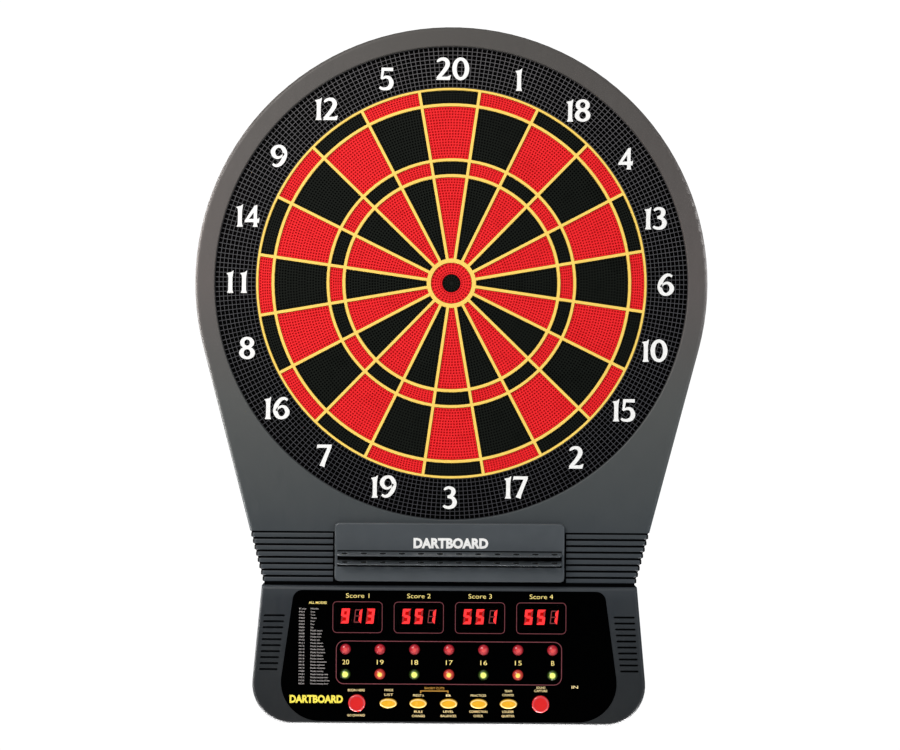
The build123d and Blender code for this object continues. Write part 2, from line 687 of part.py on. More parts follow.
for name, x in zip(OVAL_NAMES, OVAL_X):
    with BuildPart() as oval_button:
        with BuildSketch(front(BUTTON_FLANGE_BACK)):
            with Locations((x, BUTTON_Z)):
                Ellipse(OVAL_HALF[0] + BUTTON_GAP + 1.5, OVAL_HALF[1] + BUTTON_GAP + 1.5)
        extrude(amount=BUTTON_FLANGE)
        with BuildSketch(front(BUTTON_FLANGE_BACK + BUTTON_FLANGE)):
            with Locations((x, BUTTON_Z)):
                Ellipse(*OVAL_HALF)
        extrude(amount=BUTTON_TOP - BUTTON_FLANGE_BACK - BUTTON_FLANGE)
        with BuildSketch(front(BUTTON_TOP - BUTTON_DISH)):
            with Locations((x, BUTTON_Z)):
                Ellipse(OVAL_HALF[0] - 1.6, OVAL_HALF[1] - 1.4)
        extrude(amount=BUTTON_DISH, mode=Mode.SUBTRACT)
        fillet(oval_button.faces().sort_by(Axis.Y)[0].outer_wire().edges(), 0.8)
    save(oval_button.part, name)

# ---- main board and what stands on it ----------------------------------------------------------

with BuildPart() as main_board:
    with BuildSketch(front(PCB_BACK)):
        with Locations((0, (PCB_TOP_Z + PCB_BOTTOM_Z) / 2)):
            RectangleRounded(2 * PCB_HALF, PCB_TOP_Z - PCB_BOTTOM_Z, 3)
        with Locations(*PCB_SCREWS):
            Circle(CLEARANCE_R, mode=Mode.SUBTRACT)
    extrude(amount=PCB_FRONT - PCB_BACK)
save(main_board.part, "main_board")

make_screws("main_board_screws", PCB_SCREWS, PCB_BACK - HEAD_HEIGHT, 7.0)

# processor, capacitors, and the blocks for the membrane tail and the speaker leads, on the rear of the board
TAIL_BLOCK = (34.0, 6.0)
TAIL_BLOCK_Z = -330.0
LEAD_BLOCK = (-130.0, -361.4)
BLOCK_BACK = 32.8

with BuildPart() as board_components:
    with BuildSketch(front(PCB_BACK - 2)):
        with Locations((20, -385)):
            Rectangle(24, 24)
        with Locations((70, -380)):
            Rectangle(12, 18)
    extrude(amount=2)
    with BuildSketch(front(BLOCK_BACK)):
        with Locations((0, TAIL_BLOCK_Z)):
            Rectangle(*TAIL_BLOCK)
        with Locations(LEAD_BLOCK):
            Rectangle(8, 10)
    extrude(amount=PCB_BACK - BLOCK_BACK)
    with BuildSketch(front(PCB_BACK - 9)):
        with Locations((100, -350), (112, -350), (100, -390)):
            Circle(3.2)
    extrude(amount=9)
save(board_components.part, "board_components")

with BuildPart() as score_displays:
    with BuildSketch(front(PCB_FRONT)):
        with Locations(*[(x, DISPLAY_Z) for x in DISPLAY_X]):
            Rectangle(DISPLAY[0], DISPLAY[1])
    extrude(amount=DISPLAY[2])
save(score_displays.part, "score_displays")

LIGHT_TOP = 52.4


def make_lights(name, places):
    """Round-nosed lights that stand on the board and show through the panel."""
    with BuildPart() as lights:
        with BuildSketch(front(PCB_FRONT)):
            with Locations(*places):
                Circle(LIGHT_R + 0.8)
        extrude(amount=1.2)
        with BuildSketch(front(PCB_FRONT + 1.2)):
            with Locations(*places):
                Circle(LIGHT_R)
        extrude(amount=LIGHT_TOP - PCB_FRONT - 1.2)
        fillet(lights.faces().filter_by(Axis.Y).group_by(Axis.Y)[0].edges(), 3.6)
    save(lights.part, name)


make_lights("upper_lights", [(x, UPPER_LIGHT_Z) for x in LIGHT_X])
make_lights("lower_green_lights", [(x, LOWER_LIGHT_Z) for x in LIGHT_X[::2]])
make_lights("lower_red_lights", [(x, LOWER_LIGHT_Z) for x in LIGHT_X[1::2]])

with BuildPart() as key_switches:
    with BuildSketch(front(PCB_FRONT)):
        with Locations(*[(x, BUTTON_Z) for x in ROUND_X + OVAL_X]):
            Rectangle(6, 6)
    extrude(amount=2.5)
    with BuildSketch(front(PCB_FRONT + 2.5)):
        with Locations(*[(x, BUTTON_Z) for x in ROUND_X + OVAL_X]):
            Circle(1.7)
    extrude(amount=0.7)
save(key_switches.part, "key_switches")

with BuildPart() as microphone:
    with BuildSketch(front(PCB_FRONT)):
        with Locations(MICROPHONE):
            Circle(4.8)
    extrude(amount=5.4)
save(microphone.part, "microphone")

# ---- speaker, jack and leads -------------------------------------------------------------------

speaker_axis = Axis((SPEAKER[0], 0, SPEAKER[1]), (0, 1, 0))
speaker_plane = Plane(origin=(SPEAKER[0], 0, SPEAKER[1]), x_dir=(1, 0, 0), z_dir=(0, 0, 1))


def revolved(profile):
    """A speaker piece turned from its (radius, depth) outline."""
    with BuildPart() as piece:
        with BuildSketch(speaker_plane):
            Polygon(*[(radius, -depth) for radius, depth in profile], align=None)
        revolve(axis=speaker_axis)
    return piece.part


save(
    revolved(
        [
            (0, 25),
            (13, 25),
            (13, 33),
            (SPEAKER_R, 42.2),
            (SPEAKER_R, 44.9),
            (16.4, 44.9),
            (16.4, 43.9),
            (14.6, 43.9),
            (11, 34.2),
            (0, 34.2),
        ]
    ),
    "speaker_frame",
)
save(
    revolved(
        [
            (0, 36),
            (4.5, 36),
            (13.6, 43.2),
            (14, 43.9),
            (16.2, 43.9),
            (16.2, 44.4),
            (13.4, 44.4),
            (4.2, 37),
            (0, 38.2),
        ]
    ),
    "speaker_cone",
)

with BuildPart() as power_jack:
    with BuildSketch(Plane.XY.offset(CONSOLE_BOTTOM_Z + WALL)):
        with Locations((JACK_X, -JACK_DEPTH)):
            Rectangle(13, 10)
    extrude(amount=13)
    with BuildSketch(Plane.XY.offset(CONSOLE_BOTTOM_Z + 0.3)):
        with Locations((JACK_X, -JACK_DEPTH)):
            Circle(JACK_BARREL_R)
    extrude(amount=WALL)
    # socket round its centre pin
    with BuildSketch(Plane.XY.offset(CONSOLE_BOTTOM_Z)):
        with Locations((JACK_X, -JACK_DEPTH)):
            Circle(2.75)
            Circle(1.0, mode=Mode.SUBTRACT)
    extrude(amount=10, mode=Mode.SUBTRACT)
save(power_jack.part, "power_jack")

# flat tail from the membrane, over the backing board and down to the main board
TAIL_DEPTH = 29.0

with BuildPart() as membrane_tail:
    with BuildSketch(Plane.YZ.offset(-TAIL_WIDTH / 2)):
        with BuildLine():
            FilletPolyline(
                (-MEMBRANE_BACK - MEMBRANE_SHEET / 2, TAIL_START_Z),
                (-MEMBRANE_BACK - MEMBRANE_SHEET / 2, -238),
                (-TAIL_DEPTH, -275),
                (-TAIL_DEPTH, TAIL_BLOCK_Z),
                (-BLOCK_BACK, TAIL_BLOCK_Z),
                radius=3,
            )
        trace(line_width=MEMBRANE_SHEET)
    extrude(amount=TAIL_WIDTH)
save(membrane_tail.part, "membrane_tail")

with BuildPart() as speaker_leads:
    for z in (SPEAKER[1] - 1.5, SPEAKER[1] + 1.5):
        lead_start = (SPEAKER[0] + 13.1, -TAIL_DEPTH)
        with BuildLine(Plane.XY.offset(z)) as lead_path:
            FilletPolyline(lead_start, (LEAD_BLOCK[0], -TAIL_DEPTH), (LEAD_BLOCK[0], -BLOCK_BACK), radius=3)
        with BuildSketch(Plane(origin=(*lead_start, z), x_dir=(0, 1, 0), z_dir=(1, 0, 0))):
            Circle(0.6)
        sweep(path=lead_path.line)
save(speaker_leads.part, "speaker_leads")
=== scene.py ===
"""Looks for the electronic dartboard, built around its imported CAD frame.

X runs right, Z up and the board faces -Y. Sizes are in millimetres and become metres in place(),
which takes x, z and the depth in front of the wall.
"""

import math
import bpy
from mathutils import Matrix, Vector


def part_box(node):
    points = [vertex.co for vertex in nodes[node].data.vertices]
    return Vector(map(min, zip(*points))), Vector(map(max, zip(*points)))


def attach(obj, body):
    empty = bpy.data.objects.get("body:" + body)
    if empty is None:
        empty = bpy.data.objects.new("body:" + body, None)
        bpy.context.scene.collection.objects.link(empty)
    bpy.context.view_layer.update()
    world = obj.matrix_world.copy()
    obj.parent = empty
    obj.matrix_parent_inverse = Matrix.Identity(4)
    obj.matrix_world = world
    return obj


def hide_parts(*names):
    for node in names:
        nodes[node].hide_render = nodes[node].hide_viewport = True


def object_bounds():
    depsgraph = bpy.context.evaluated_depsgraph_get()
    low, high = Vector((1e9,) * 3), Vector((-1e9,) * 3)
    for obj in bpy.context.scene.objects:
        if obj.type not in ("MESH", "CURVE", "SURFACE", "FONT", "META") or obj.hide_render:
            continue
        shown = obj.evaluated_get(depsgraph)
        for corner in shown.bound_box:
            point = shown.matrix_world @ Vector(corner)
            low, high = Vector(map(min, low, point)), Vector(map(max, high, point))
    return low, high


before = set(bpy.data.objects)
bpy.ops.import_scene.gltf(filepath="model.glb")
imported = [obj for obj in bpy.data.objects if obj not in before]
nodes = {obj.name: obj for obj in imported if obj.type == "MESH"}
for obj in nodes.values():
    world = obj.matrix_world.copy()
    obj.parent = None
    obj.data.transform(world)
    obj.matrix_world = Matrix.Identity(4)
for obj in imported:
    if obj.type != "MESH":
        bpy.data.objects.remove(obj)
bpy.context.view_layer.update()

from fractions import Fraction

import bmesh
import bpy
from mathutils import Vector

MM = 0.001
FIXED_BODY = "housing"


def place(x, z, depth):
    """A point given in millimetres, as metres in the shared frame."""
    return (x * MM, -depth * MM, z * MM)


def front_of(node):
    """How far in front of the wall a node's foremost point lies, in millimetres."""
    return -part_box(node)[0].y / MM


def srgb(red, green, blue):
    """A colour named by its 0 to 255 screen values, as linear light."""
    values = []
    for value in (red, green, blue):
        share = value / 255
        values.append(share / 12.92 if share <= 0.04045 else ((share + 0.055) / 1.055) ** 2.4)
    return (*values, 1.0)


# ---------------------------------------------------------------- camera, lights and floor

CAMERA_DISTANCE = 1.70
PICTURE_WIDTH = 0.9067
SENSOR = 36.0
PICTURE_CENTRE = (-0.0008, -0.0925)
PICTURE_ROLL = math.radians(-0.38)
FLOOR_DROP = 0.31
FLOOR_HALF = 1.1


def add_camera():
    """A camera straight in front of the board, rolled a little."""
    data = bpy.data.cameras.new("camera")
    data.sensor_width = SENSOR
    data.lens = SENSOR * (CAMERA_DISTANCE - front_of("spider") * MM) / PICTURE_WIDTH
    camera = bpy.data.objects.new("camera", data)
    camera.location = (PICTURE_CENTRE[0], -CAMERA_DISTANCE, PICTURE_CENTRE[1])
    camera.rotation_euler = (math.radians(90), PICTURE_ROLL, 0)
    bpy.context.scene.collection.objects.link(camera)
    bpy.context.scene.camera = camera


def add_area_light(name, at, towards, size, energy, colour):
    """A rectangular softbox at one point, facing another."""
    data = bpy.data.lights.new(name, "AREA")
    data.shape = "RECTANGLE"
    data.size, data.size_y = size
    data.energy = energy
    data.color = colour
    lamp = bpy.data.objects.new(name, data)
    lamp.location = at
    lamp.rotation_euler = (Vector(towards) - Vector(at)).to_track_quat("-Z", "Y").to_euler()
    bpy.context.scene.collection.objects.link(lamp)


def add_world():
    """White behind the object, and a much dimmer grey for what lights it and what it mirrors."""
    world = bpy.data.worlds.new("studio")
    world.use_nodes = True
    tree = world.node_tree
    tree.nodes.clear()
    seen = tree.nodes.new("ShaderNodeBackground")
    seen.inputs["Color"].default_value = (1.0, 1.0, 1.0, 1.0)
    seen.inputs["Strength"].default_value = 1.05
    room = tree.nodes.new("ShaderNodeBackground")
    room.inputs["Color"].default_value = (0.80, 0.90, 1.0, 1.0)
    room.inputs["Strength"].default_value = 0.16
    path = tree.nodes.new("ShaderNodeLightPath")
    mix = tree.nodes.new("ShaderNodeMixShader")
    output = tree.nodes.new("ShaderNodeOutputWorld")
    tree.links.new(path.outputs["Is Camera Ray"], mix.inputs[0])
    tree.links.new(room.outputs[0], mix.inputs[1])
    tree.links.new(seen.outputs[0], mix.inputs[2])
    tree.links.new(mix.outputs[0], output.inputs[0])
    bpy.context.scene.world = world


def add_floor():
    """A plain pale floor, well below the board, which hangs on its wall."""
    bm = bmesh.new()
    bmesh.ops.create_grid(bm, x_segments=12, y_segments=12, size=FLOOR_HALF)
    data = bpy.data.meshes.new("floor")
    bm.to_mesh(data)
    bm.free()
    floor = bpy.data.objects.new("floor", data)
    floor.location = (0, 0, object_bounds()[0][2] - FLOOR_DROP)
    bpy.context.scene.collection.objects.link(floor)
    data.materials.append(plastic("floor_paper", (245, 245, 244), rough=(0.75, 0.9), grain=0.02, shine=0.2))


# ---------------------------------------------------------------- materials


class Finish:
    """A Principled material in the making, whose patterns follow the object's own coordinates."""

    def __init__(self, name):
        self.material = bpy.data.materials.new(name)
        self.material.use_nodes = True
        self.tree = self.material.node_tree
        self.tree.nodes.clear()
        self.shader = self.add("ShaderNodeBsdfPrincipled")
        output = self.add("ShaderNodeOutputMaterial")
        self.link(self.shader.outputs["BSDF"], output.inputs["Surface"])
        self.place = self.add("ShaderNodeTexCoord").outputs["Object"]

    def add(self, kind):
        return self.tree.nodes.new(kind)

    def link(self, source, target):
        self.tree.links.new(source, target)

    def set(self, **values):
        """Constants on the shader's own sockets, with _ for a space in a socket's name."""
        for name, value in values.items():
            self.shader.inputs[name.replace("_", " ")].default_value = value
        return self

    def noise(self, per_metre, detail=4.0, roughness=0.55, stretch=(1, 1, 1)):
        """Noise with about this many waves a metre, drawn out along the axes by stretch."""
        mapping = self.add("ShaderNodeMapping")
        mapping.inputs["Scale"].default_value = stretch
        self.link(self.place, mapping.inputs["Vector"])
        noise = self.add("ShaderNodeTexNoise")
        noise.inputs["Scale"].default_value = per_metre
        noise.inputs["Detail"].default_value = detail
        noise.inputs["Roughness"].default_value = roughness
        self.link(mapping.outputs["Vector"], noise.inputs["Vector"])
        return noise.outputs["Fac"]

    def ramp(self, source, stops):
        """A colour ramp with stops of (position, colour)."""
        ramp = self.add("ShaderNodeValToRGB")
        elements = ramp.color_ramp.elements
        while len(elements) < len(stops):
            elements.new(0.5)
        for element, (position, colour) in zip(elements, stops):
            element.position = position
            element.color = colour
        self.link(source, ramp.inputs["Fac"])
        return ramp.outputs["Color"]

    def spread(self, source, low, high, start=0.3, end=0.7):
        """A value from low to high as the source goes from start to end."""
        span = self.add("ShaderNodeMapRange")
        span.inputs["From Min"].default_value = start
        span.inputs["From Max"].default_value = end
        span.inputs["To Min"].default_value = low
        span.inputs["To Max"].default_value = high
        self.link(source, span.inputs["Value"])
        return span.outputs["Result"]

    def height(self, low, high):
        """0 to 1 as a point's depth in front of the wall goes from low to high, in millimetres."""
        split = self.add("ShaderNodeSeparateXYZ")
        self.link(self.place, split.inputs["Vector"])
        return self.spread(split.outputs["Y"], 0.0, 1.0, -low * MM, -high * MM)

    def between(self, axis, low, high, soft):
        """1 where the point's coordinate lies between two values in metres, and 0 outside."""
        split = self.add("ShaderNodeSeparateXYZ")
        self.link(self.place, split.inputs["Vector"])
        rise = self.spread(split.outputs[axis], 0.0, 1.0, low - soft, low + soft)
        fall = self.spread(split.outputs[axis], 1.0, 0.0, high - soft, high + soft)
        return self.times(rise, fall)

    def times(self, first, second):
        """The product of two values, either of which may be a plain number."""
        product = self.add("ShaderNodeMath")
        product.operation = "MULTIPLY"
        for value, socket in zip((first, second), product.inputs):
            if isinstance(value, float):
                socket.default_value = value
            else:
                self.link(value, socket)
        return product.outputs[0]

    def blend(self, share, first, second):
        """The first colour turning into the second as share goes from 0 to 1."""
        mix = self.add("ShaderNodeMix")
        mix.data_type = "RGBA"
        self.link(share, mix.inputs["Factor"])
        for colour, socket in ((first, mix.inputs[6]), (second, mix.inputs[7])):
            if isinstance(colour, tuple):
                socket.default_value = colour
            else:
                self.link(colour, socket)
        return mix.outputs[2]

    def reach(self, x, z):
        """The distance in metres from an axis to the front that passes x and z millimetres off."""
        shift = self.add("ShaderNodeVectorMath")
        shift.operation = "SUBTRACT"
        shift.inputs[1].default_value = (x * MM, 0.0, z * MM)
        self.link(self.place, shift.inputs[0])
        flat = self.add("ShaderNodeVectorMath")
        flat.operation = "MULTIPLY"
        flat.inputs[1].default_value = (1.0, 0.0, 1.0)
        self.link(shift.outputs["Vector"], flat.inputs[0])
        length = self.add("ShaderNodeVectorMath")
        length.operation = "LENGTH"
        self.link(flat.outputs["Vector"], length.inputs[0])
        return length.outputs["Value"]

    def bump(self, height, distance, strength=1.0, under=None):
        """Relief of this depth in metres, over the relief under it."""
        bump = self.add("ShaderNodeBump")
        bump.inputs["Strength"].default_value = strength
        bump.inputs["Distance"].default_value = distance
        self.link(height, bump.inputs["Height"])
        if under:
            self.link(under, bump.inputs["Normal"])
        return bump.outputs["Normal"]

    def colour(self, output):
        self.link(output, self.shader.inputs["Base Color"])

    def roughness(self, output):
        self.link(output, self.shader.inputs["Roughness"])

    def normal(self, output):
        self.link(output, self.shader.inputs["Normal"])


def shade(colour, factor):
    """A linear colour made lighter or darker."""
    return tuple(min(1.0, value * factor) for value in colour[:3]) + (1.0,)


def plastic(name, colour, rough=(0.4, 0.55), grain=0.03, shine=0.5, mottle=0.10, coat=0.0):
    """Moulded plastic: a fine grain, faint mottling and shinier patches."""
    finish = Finish(name)
    base = srgb(*colour)
    clouds = finish.noise(22.0)
    finish.colour(finish.ramp(clouds, [(0.3, shade(base, 1 - mottle)), (0.7, shade(base, 1 + mottle))]))
    scuffs = finish.noise(160.0, detail=6.0, stretch=(1.0, 1.0, 0.25))
    finish.roughness(finish.spread(scuffs, *rough))
    texture = finish.bump(finish.noise(2600.0, detail=2.0), grain * MM, 0.6)
    finish.normal(finish.bump(clouds, 0.15 * MM, 0.25, texture))
    finish.set(Specular_IOR_Level=shine, Coat_Weight=coat, Coat_Roughness=0.08)
    return finish.material


def metal(name, colour, rough=(0.25, 0.4), brush=(1.0, 1.0, 1.0)):
    """Metal with fine drawn lines, dull spots and a little tarnish."""
    finish = Finish(name)
    base = srgb(*colour)
    tarnish = finish.noise(140.0, detail=6.0)
    finish.colour(finish.ramp(tarnish, [(0.35, shade(base, 0.72)), (0.65, base)]))
    lines = finish.noise(900.0, detail=3.0, stretch=brush)
    finish.roughness(finish.spread(lines, *rough))
    finish.normal(finish.bump(lines, 0.01 * MM, 0.5))
    finish.set(Metallic=1.0)
    return finish.material


def weave(name, colour, second, per_metre, depth, rough=0.85):
    """Soft sheet stuff: a cellular surface in two close shades."""
    finish = Finish(name)
    cells = finish.add("ShaderNodeTexVoronoi")
    cells.inputs["Scale"].default_value = per_metre
    finish.link(finish.place, cells.inputs["Vector"])
    finish.colour(finish.ramp(cells.outputs["Distance"], [(0.1, srgb(*second)), (0.7, srgb(*colour))]))
    finish.normal(finish.bump(cells.outputs["Distance"], depth * MM, 0.7))
    finish.set(Roughness=rough, Specular_IOR_Level=0.25)
    return finish.material


def paint(name, colour, glow=0.0, rough=(0.35, 0.5)):
    """A screen-printed or moulded-in light colour, with the thin spots of real ink."""
    finish = Finish(name)
    base = srgb(*colour)
    ink = finish.noise(420.0, detail=5.0)
    finish.colour(finish.ramp(ink, [(0.25, shade(base, 0.9)), (0.6, base)]))
    finish.roughness(finish.spread(ink, *rough))
    finish.normal(finish.bump(ink, 0.02 * MM, 0.4))
    # glow gives off light: a lit segment's own, and painted light on inks, unlit segments and glow patches
    if glow:
        finish.set(Emission_Color=base, Emission_Strength=glow)
    return finish.material


# The case's one grey, darkened and lightened by height: mostly painted light and shade, darkest at the
# console and palest at the head.
CASE_TONE_AND_SHADE = (  # height, and the case's colour there
    (-444.0, (8, 13, 17)), (-400.0, (11, 17, 22)), (-318.0, (29, 35, 41)), (-306.0, (44, 49, 54)),
    (-300.0, (48, 54, 60)), (-260.0, (47, 53, 58)), (-225.0, (59, 64, 66)), (-120.0, (75, 77, 76)),
    (0.0, (87, 81, 79)), (255.0, (71, 68, 65)),
)
TONE_DRIFT = 0.002
PATCHINESS = 0.10
# painted shade: the grooves between the ribs are coloured near black
GROOVE_SHADE_Z = (-305.2, -249.6)
GROOVE_SHADE_DEPTHS = (43.1, 43.75)  # dark at and below the first, plain at the second
RACK_FRONT = 49.0
# painted shade: the rack's pocket under the shelves is coloured near black
POCKET_SHADE_Z = (-285.5, -268.7)
POCKET_SHADE_DEPTHS = (48.0, 48.9)
DART_PITCH = 19.05
DART_HOLE_R = 3.3
DART_HOLE_DEPTH = 55.6
GRID_RADII = (197.3, 238.3)
GRID_ROWS = 10
GRID_RIBS = 300
GRID_TOP = 41.1
GRID_BACK = 40.0


def dulled(finish, mask, shine):
    """Keeps the shine off the shader wherever the mask is."""
    finish.link(finish.spread(mask, shine, 0.03, 0.0, 1.0), finish.shader.inputs["Specular IOR Level"])


def housing_finish(name):
    """The case's grained grey, graded by height from a dark console to a paler head as painted light and
    shade, with painted shade in its grooves.
    """
    finish = Finish(name)
    split = finish.add("ShaderNodeSeparateXYZ")
    finish.link(finish.place, split.inputs["Vector"])
    clouds = finish.noise(22.0)
    grade = finish.add("ShaderNodeMath")
    grade.operation = "ADD"
    bottom, top = CASE_TONE_AND_SHADE[0][0] * MM, CASE_TONE_AND_SHADE[-1][0] * MM
    finish.link(finish.spread(split.outputs["Z"], 0.0, 1.0, bottom, top), grade.inputs[0])
    finish.link(finish.spread(clouds, -TONE_DRIFT, TONE_DRIFT), grade.inputs[1])
    span = CASE_TONE_AND_SHADE[-1][0] - CASE_TONE_AND_SHADE[0][0]
    stops = [((z - CASE_TONE_AND_SHADE[0][0]) / span, srgb(*tone)) for z, tone in CASE_TONE_AND_SHADE]
    # painted light and shade: the case's grey graded by height
    graded = finish.ramp(grade.outputs[0], stops)
    # painted shade: near black on the floors of the grooves between the ribs
    groove_shade = finish.times(
        finish.between("Z", *(value * MM for value in GROOVE_SHADE_Z), 0.2 * MM),
        finish.spread(split.outputs["Y"], 0.0, 1.0, -GROOVE_SHADE_DEPTHS[1] * MM, -GROOVE_SHADE_DEPTHS[0] * MM),
    )
    patchy = finish.blend(finish.spread(clouds, 0.0, 1.0), graded, srgb(66, 70, 68))
    mixed = finish.add("ShaderNodeMix")
    mixed.data_type = "RGBA"
    mixed.inputs["Factor"].default_value = PATCHINESS
    finish.link(graded, mixed.inputs[6])
    finish.link(patchy, mixed.inputs[7])
    finish.colour(finish.blend(groove_shade, mixed.outputs[2], srgb(1, 1, 2)))
    dulled(finish, groove_shade, 0.42)
    finish.roughness(finish.spread(finish.noise(160.0, detail=6.0, stretch=(1.0, 1.0, 0.25)), 0.42, 0.56))
    texture = finish.bump(finish.noise(1500.0, detail=3.0), 0.09 * MM, 0.7)
    finish.normal(finish.bump(clouds, 0.15 * MM, 0.25, texture))
    return finish.material


def rack_finish(name, colour):
    """The rack's smoother grey, with painted shade inside its pocket and down its dart holes, and a painted
    highlight round the holes' rims.
    """
    finish = Finish(name)
    base = srgb(*colour)
    split = finish.add("ShaderNodeSeparateXYZ")
    finish.link(finish.place, split.inputs["Vector"])
    clouds = finish.noise(30.0)
    plain = finish.ramp(clouds, [(0.3, shade(base, 0.92)), (0.7, shade(base, 1.08))])
    along = finish.add("ShaderNodeMath")
    along.operation = "WRAP"
    finish.link(split.outputs["X"], along.inputs[0])
    along.inputs[1].default_value = DART_PITCH * MM
    along.inputs[2].default_value = 0.0
    across = finish.add("ShaderNodeCombineXYZ")
    finish.link(along.outputs[0], across.inputs["X"])
    finish.link(split.outputs["Y"], across.inputs["Y"])
    offset = finish.add("ShaderNodeVectorMath")
    offset.operation = "DISTANCE"
    finish.link(across.outputs["Vector"], offset.inputs[0])
    offset.inputs[1].default_value = (DART_PITCH * MM / 2, -DART_HOLE_DEPTH * MM, 0.0)
    away = offset.outputs["Value"]
    # painted highlight: a paler ring round each dart hole's rim
    hole_rim_highlight = finish.spread(away, 1.0, 0.0, (DART_HOLE_R + 0.5) * MM, (DART_HOLE_R + 0.9) * MM)
    # painted shade: near black down the walls of each dart hole
    bore_shade = finish.spread(away, 1.0, 0.0, (DART_HOLE_R + 0.02) * MM, (DART_HOLE_R + 0.1) * MM)
    with_rim_highlight = finish.blend(hole_rim_highlight, plain, shade(base, 1.9))
    # painted shade: near black inside the pocket under the shelves
    pocket_shade = finish.times(
        finish.between("Z", POCKET_SHADE_Z[0] * MM, POCKET_SHADE_Z[1] * MM, 0.1 * MM),
        finish.spread(split.outputs["Y"], 0.0, 1.0, -POCKET_SHADE_DEPTHS[1] * MM, -POCKET_SHADE_DEPTHS[0] * MM),
    )
    with_bore_shade = finish.blend(bore_shade, with_rim_highlight, srgb(3, 3, 4))
    finish.colour(finish.blend(pocket_shade, with_bore_shade, srgb(8, 7, 8)))
    dulled(finish, pocket_shade, 0.5)
    finish.roughness(finish.spread(finish.noise(200.0, detail=5.0), 0.30, 0.42))
    finish.normal(finish.bump(finish.noise(1500.0, detail=3.0), 0.06 * MM, 0.6))
    return finish.material


def two_level_plastic(
    name, low_colour, high_colour, low, high, rough=(0.38, 0.55), low_shine=0.4, shine=0.4, coat=0.0
):
    """Plastic in one shade low down and another on its raised parts: the difference is painted light, shade
    down in pits and a highlight on raised rims.
    """
    finish = Finish(name)
    patches = finish.noise(60.0, detail=5.0)
    share = finish.times(finish.height(low, high), finish.spread(patches, 0.82, 1.1))
    finish.colour(finish.ramp(share, [(0.30, srgb(*low_colour)), (0.95, srgb(*high_colour))]))
    finish.roughness(finish.spread(patches, *rough))
    finish.normal(finish.bump(finish.noise(2600.0, detail=2.0), 0.02 * MM, 0.5))
    finish.link(finish.spread(share, low_shine, shine, 0.3, 0.95), finish.shader.inputs["Specular IOR Level"])
    finish.set(Coat_Weight=coat, Coat_Roughness=0.1)
    return finish.material


def grid_finish(name):
    """The catch ring's black grid: grey bars, partly a painted sheen on black plastic, graded paler towards
    the top as painted light, and painted shade between its bars.
    """
    finish = Finish(name)
    split = finish.add("ShaderNodeSeparateXYZ")
    finish.link(finish.place, split.inputs["Vector"])
    # painted light: the bars paler towards the top, and their grey partly a painted sheen
    upwards = finish.spread(split.outputs["Z"], 0.0, 1.0, -GRID_RADII[1] * MM, GRID_RADII[1] * MM)
    bars_and_sheen = finish.ramp(upwards, [(0.0, srgb(58, 58, 62)), (0.5, srgb(72, 72, 75)), (1.0, srgb(92, 90, 92))])
    # painted shade: black in the pits between the bars
    raised = finish.times(
        finish.height(GRID_BACK + 0.2, GRID_TOP), finish.spread(finish.noise(60.0), 0.82, 1.1)
    )
    finish.colour(finish.blend(finish.spread(raised, 0.0, 1.0, 0.30, 0.95), srgb(0, 0, 0), bars_and_sheen))
    finish.roughness(finish.spread(finish.noise(400.0), 0.38, 0.55))
    finish.normal(finish.bump(finish.noise(2600.0, detail=2.0), 0.02 * MM, 0.5))
    finish.link(finish.spread(raised, 0.02, 0.25, 0.3, 0.95), finish.shader.inputs["Specular IOR Level"])
    return finish.material


def lamp_lens(name, edge, middle, core, core_share, glow):
    """A dome lens, brightest over the lamp's core in its middle."""
    finish = Finish(name)
    share = finish.spread(finish.reach(0.0, 0.0), 0.0, 1.0, 0.0, LIGHT_R * MM)
    stops = [
        (0.0, srgb(*core)), (core_share * 0.8, srgb(*core)), (core_share * 1.25, srgb(*middle)),
        (1.0, srgb(*edge)),
    ]
    lens = finish.ramp(share, stops)
    finish.colour(lens)
    finish.link(lens, finish.shader.inputs["Emission Color"])
    finish.set(Emission_Strength=glow, Specular_IOR_Level=0.35, Coat_Weight=0.3, Coat_Roughness=0.08)
    finish.roughness(finish.spread(finish.noise(500.0), 0.16, 0.26))
    return finish.material


def clear_window(name):
    """A clear, slightly smoked acrylic cover with faint wiping marks."""
    finish = Finish(name)
    smears = finish.noise(240.0, detail=5.0, stretch=(1.0, 1.0, 4.0))
    finish.roughness(finish.spread(smears, 0.015, 0.05))
    finish.set(Base_Color=srgb(150, 92, 92), IOR=1.12, Transmission_Weight=1.0, Specular_IOR_Level=0.12)
    return finish.material


# ---------------------------------------------------------------- building meshes


class Shell:
    """The corners and faces of one piece, gathered in millimetres and written out in metres."""

    def __init__(self):
        self.corners = []
        self.faces = []

    def corner(self, x, z, depth):
        self.corners.append(place(x, z, depth))
        return len(self.corners) - 1

    def strip(self, first, second, closed=False):
        """Quads between two runs of corners of the same length."""
        count = len(first)
        for i in range(count if closed else count - 1):
            j = (i + 1) % count
            self.faces.append((first[i], first[j], second[j], second[i]))

    def build(self, name, material, body=FIXED_BODY, slot=None, smooth=False, origin=None):
        """The finished object, riding on its body. origin moves its own centre, in millimetres."""
        data = bpy.data.meshes.new(name)
        middle = Vector(place(*origin)) if origin else Vector((0, 0, 0))
        corners = [Vector(corner) - middle for corner in self.corners]
        data.from_pydata(corners, [], self.faces)
        bm = bmesh.new()
        bm.from_mesh(data)
        bmesh.ops.recalc_face_normals(bm, faces=bm.faces)
        bm.to_mesh(data)
        bm.free()
        if smooth:
            data.set_sharp_from_angle(angle=math.radians(35))
            for polygon in data.polygons:
                polygon.use_smooth = True
        data.materials.append(material)
        piece = bpy.data.objects.new(name, data)
        piece.location = middle
        bpy.context.scene.collection.objects.link(piece)
        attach(piece, body)
        return piece


def polar(radius, clockwise):
    """The point at a radius and an angle clockwise from the top, both seen from the front."""
    return radius * math.sin(clockwise), radius * math.cos(clockwise)


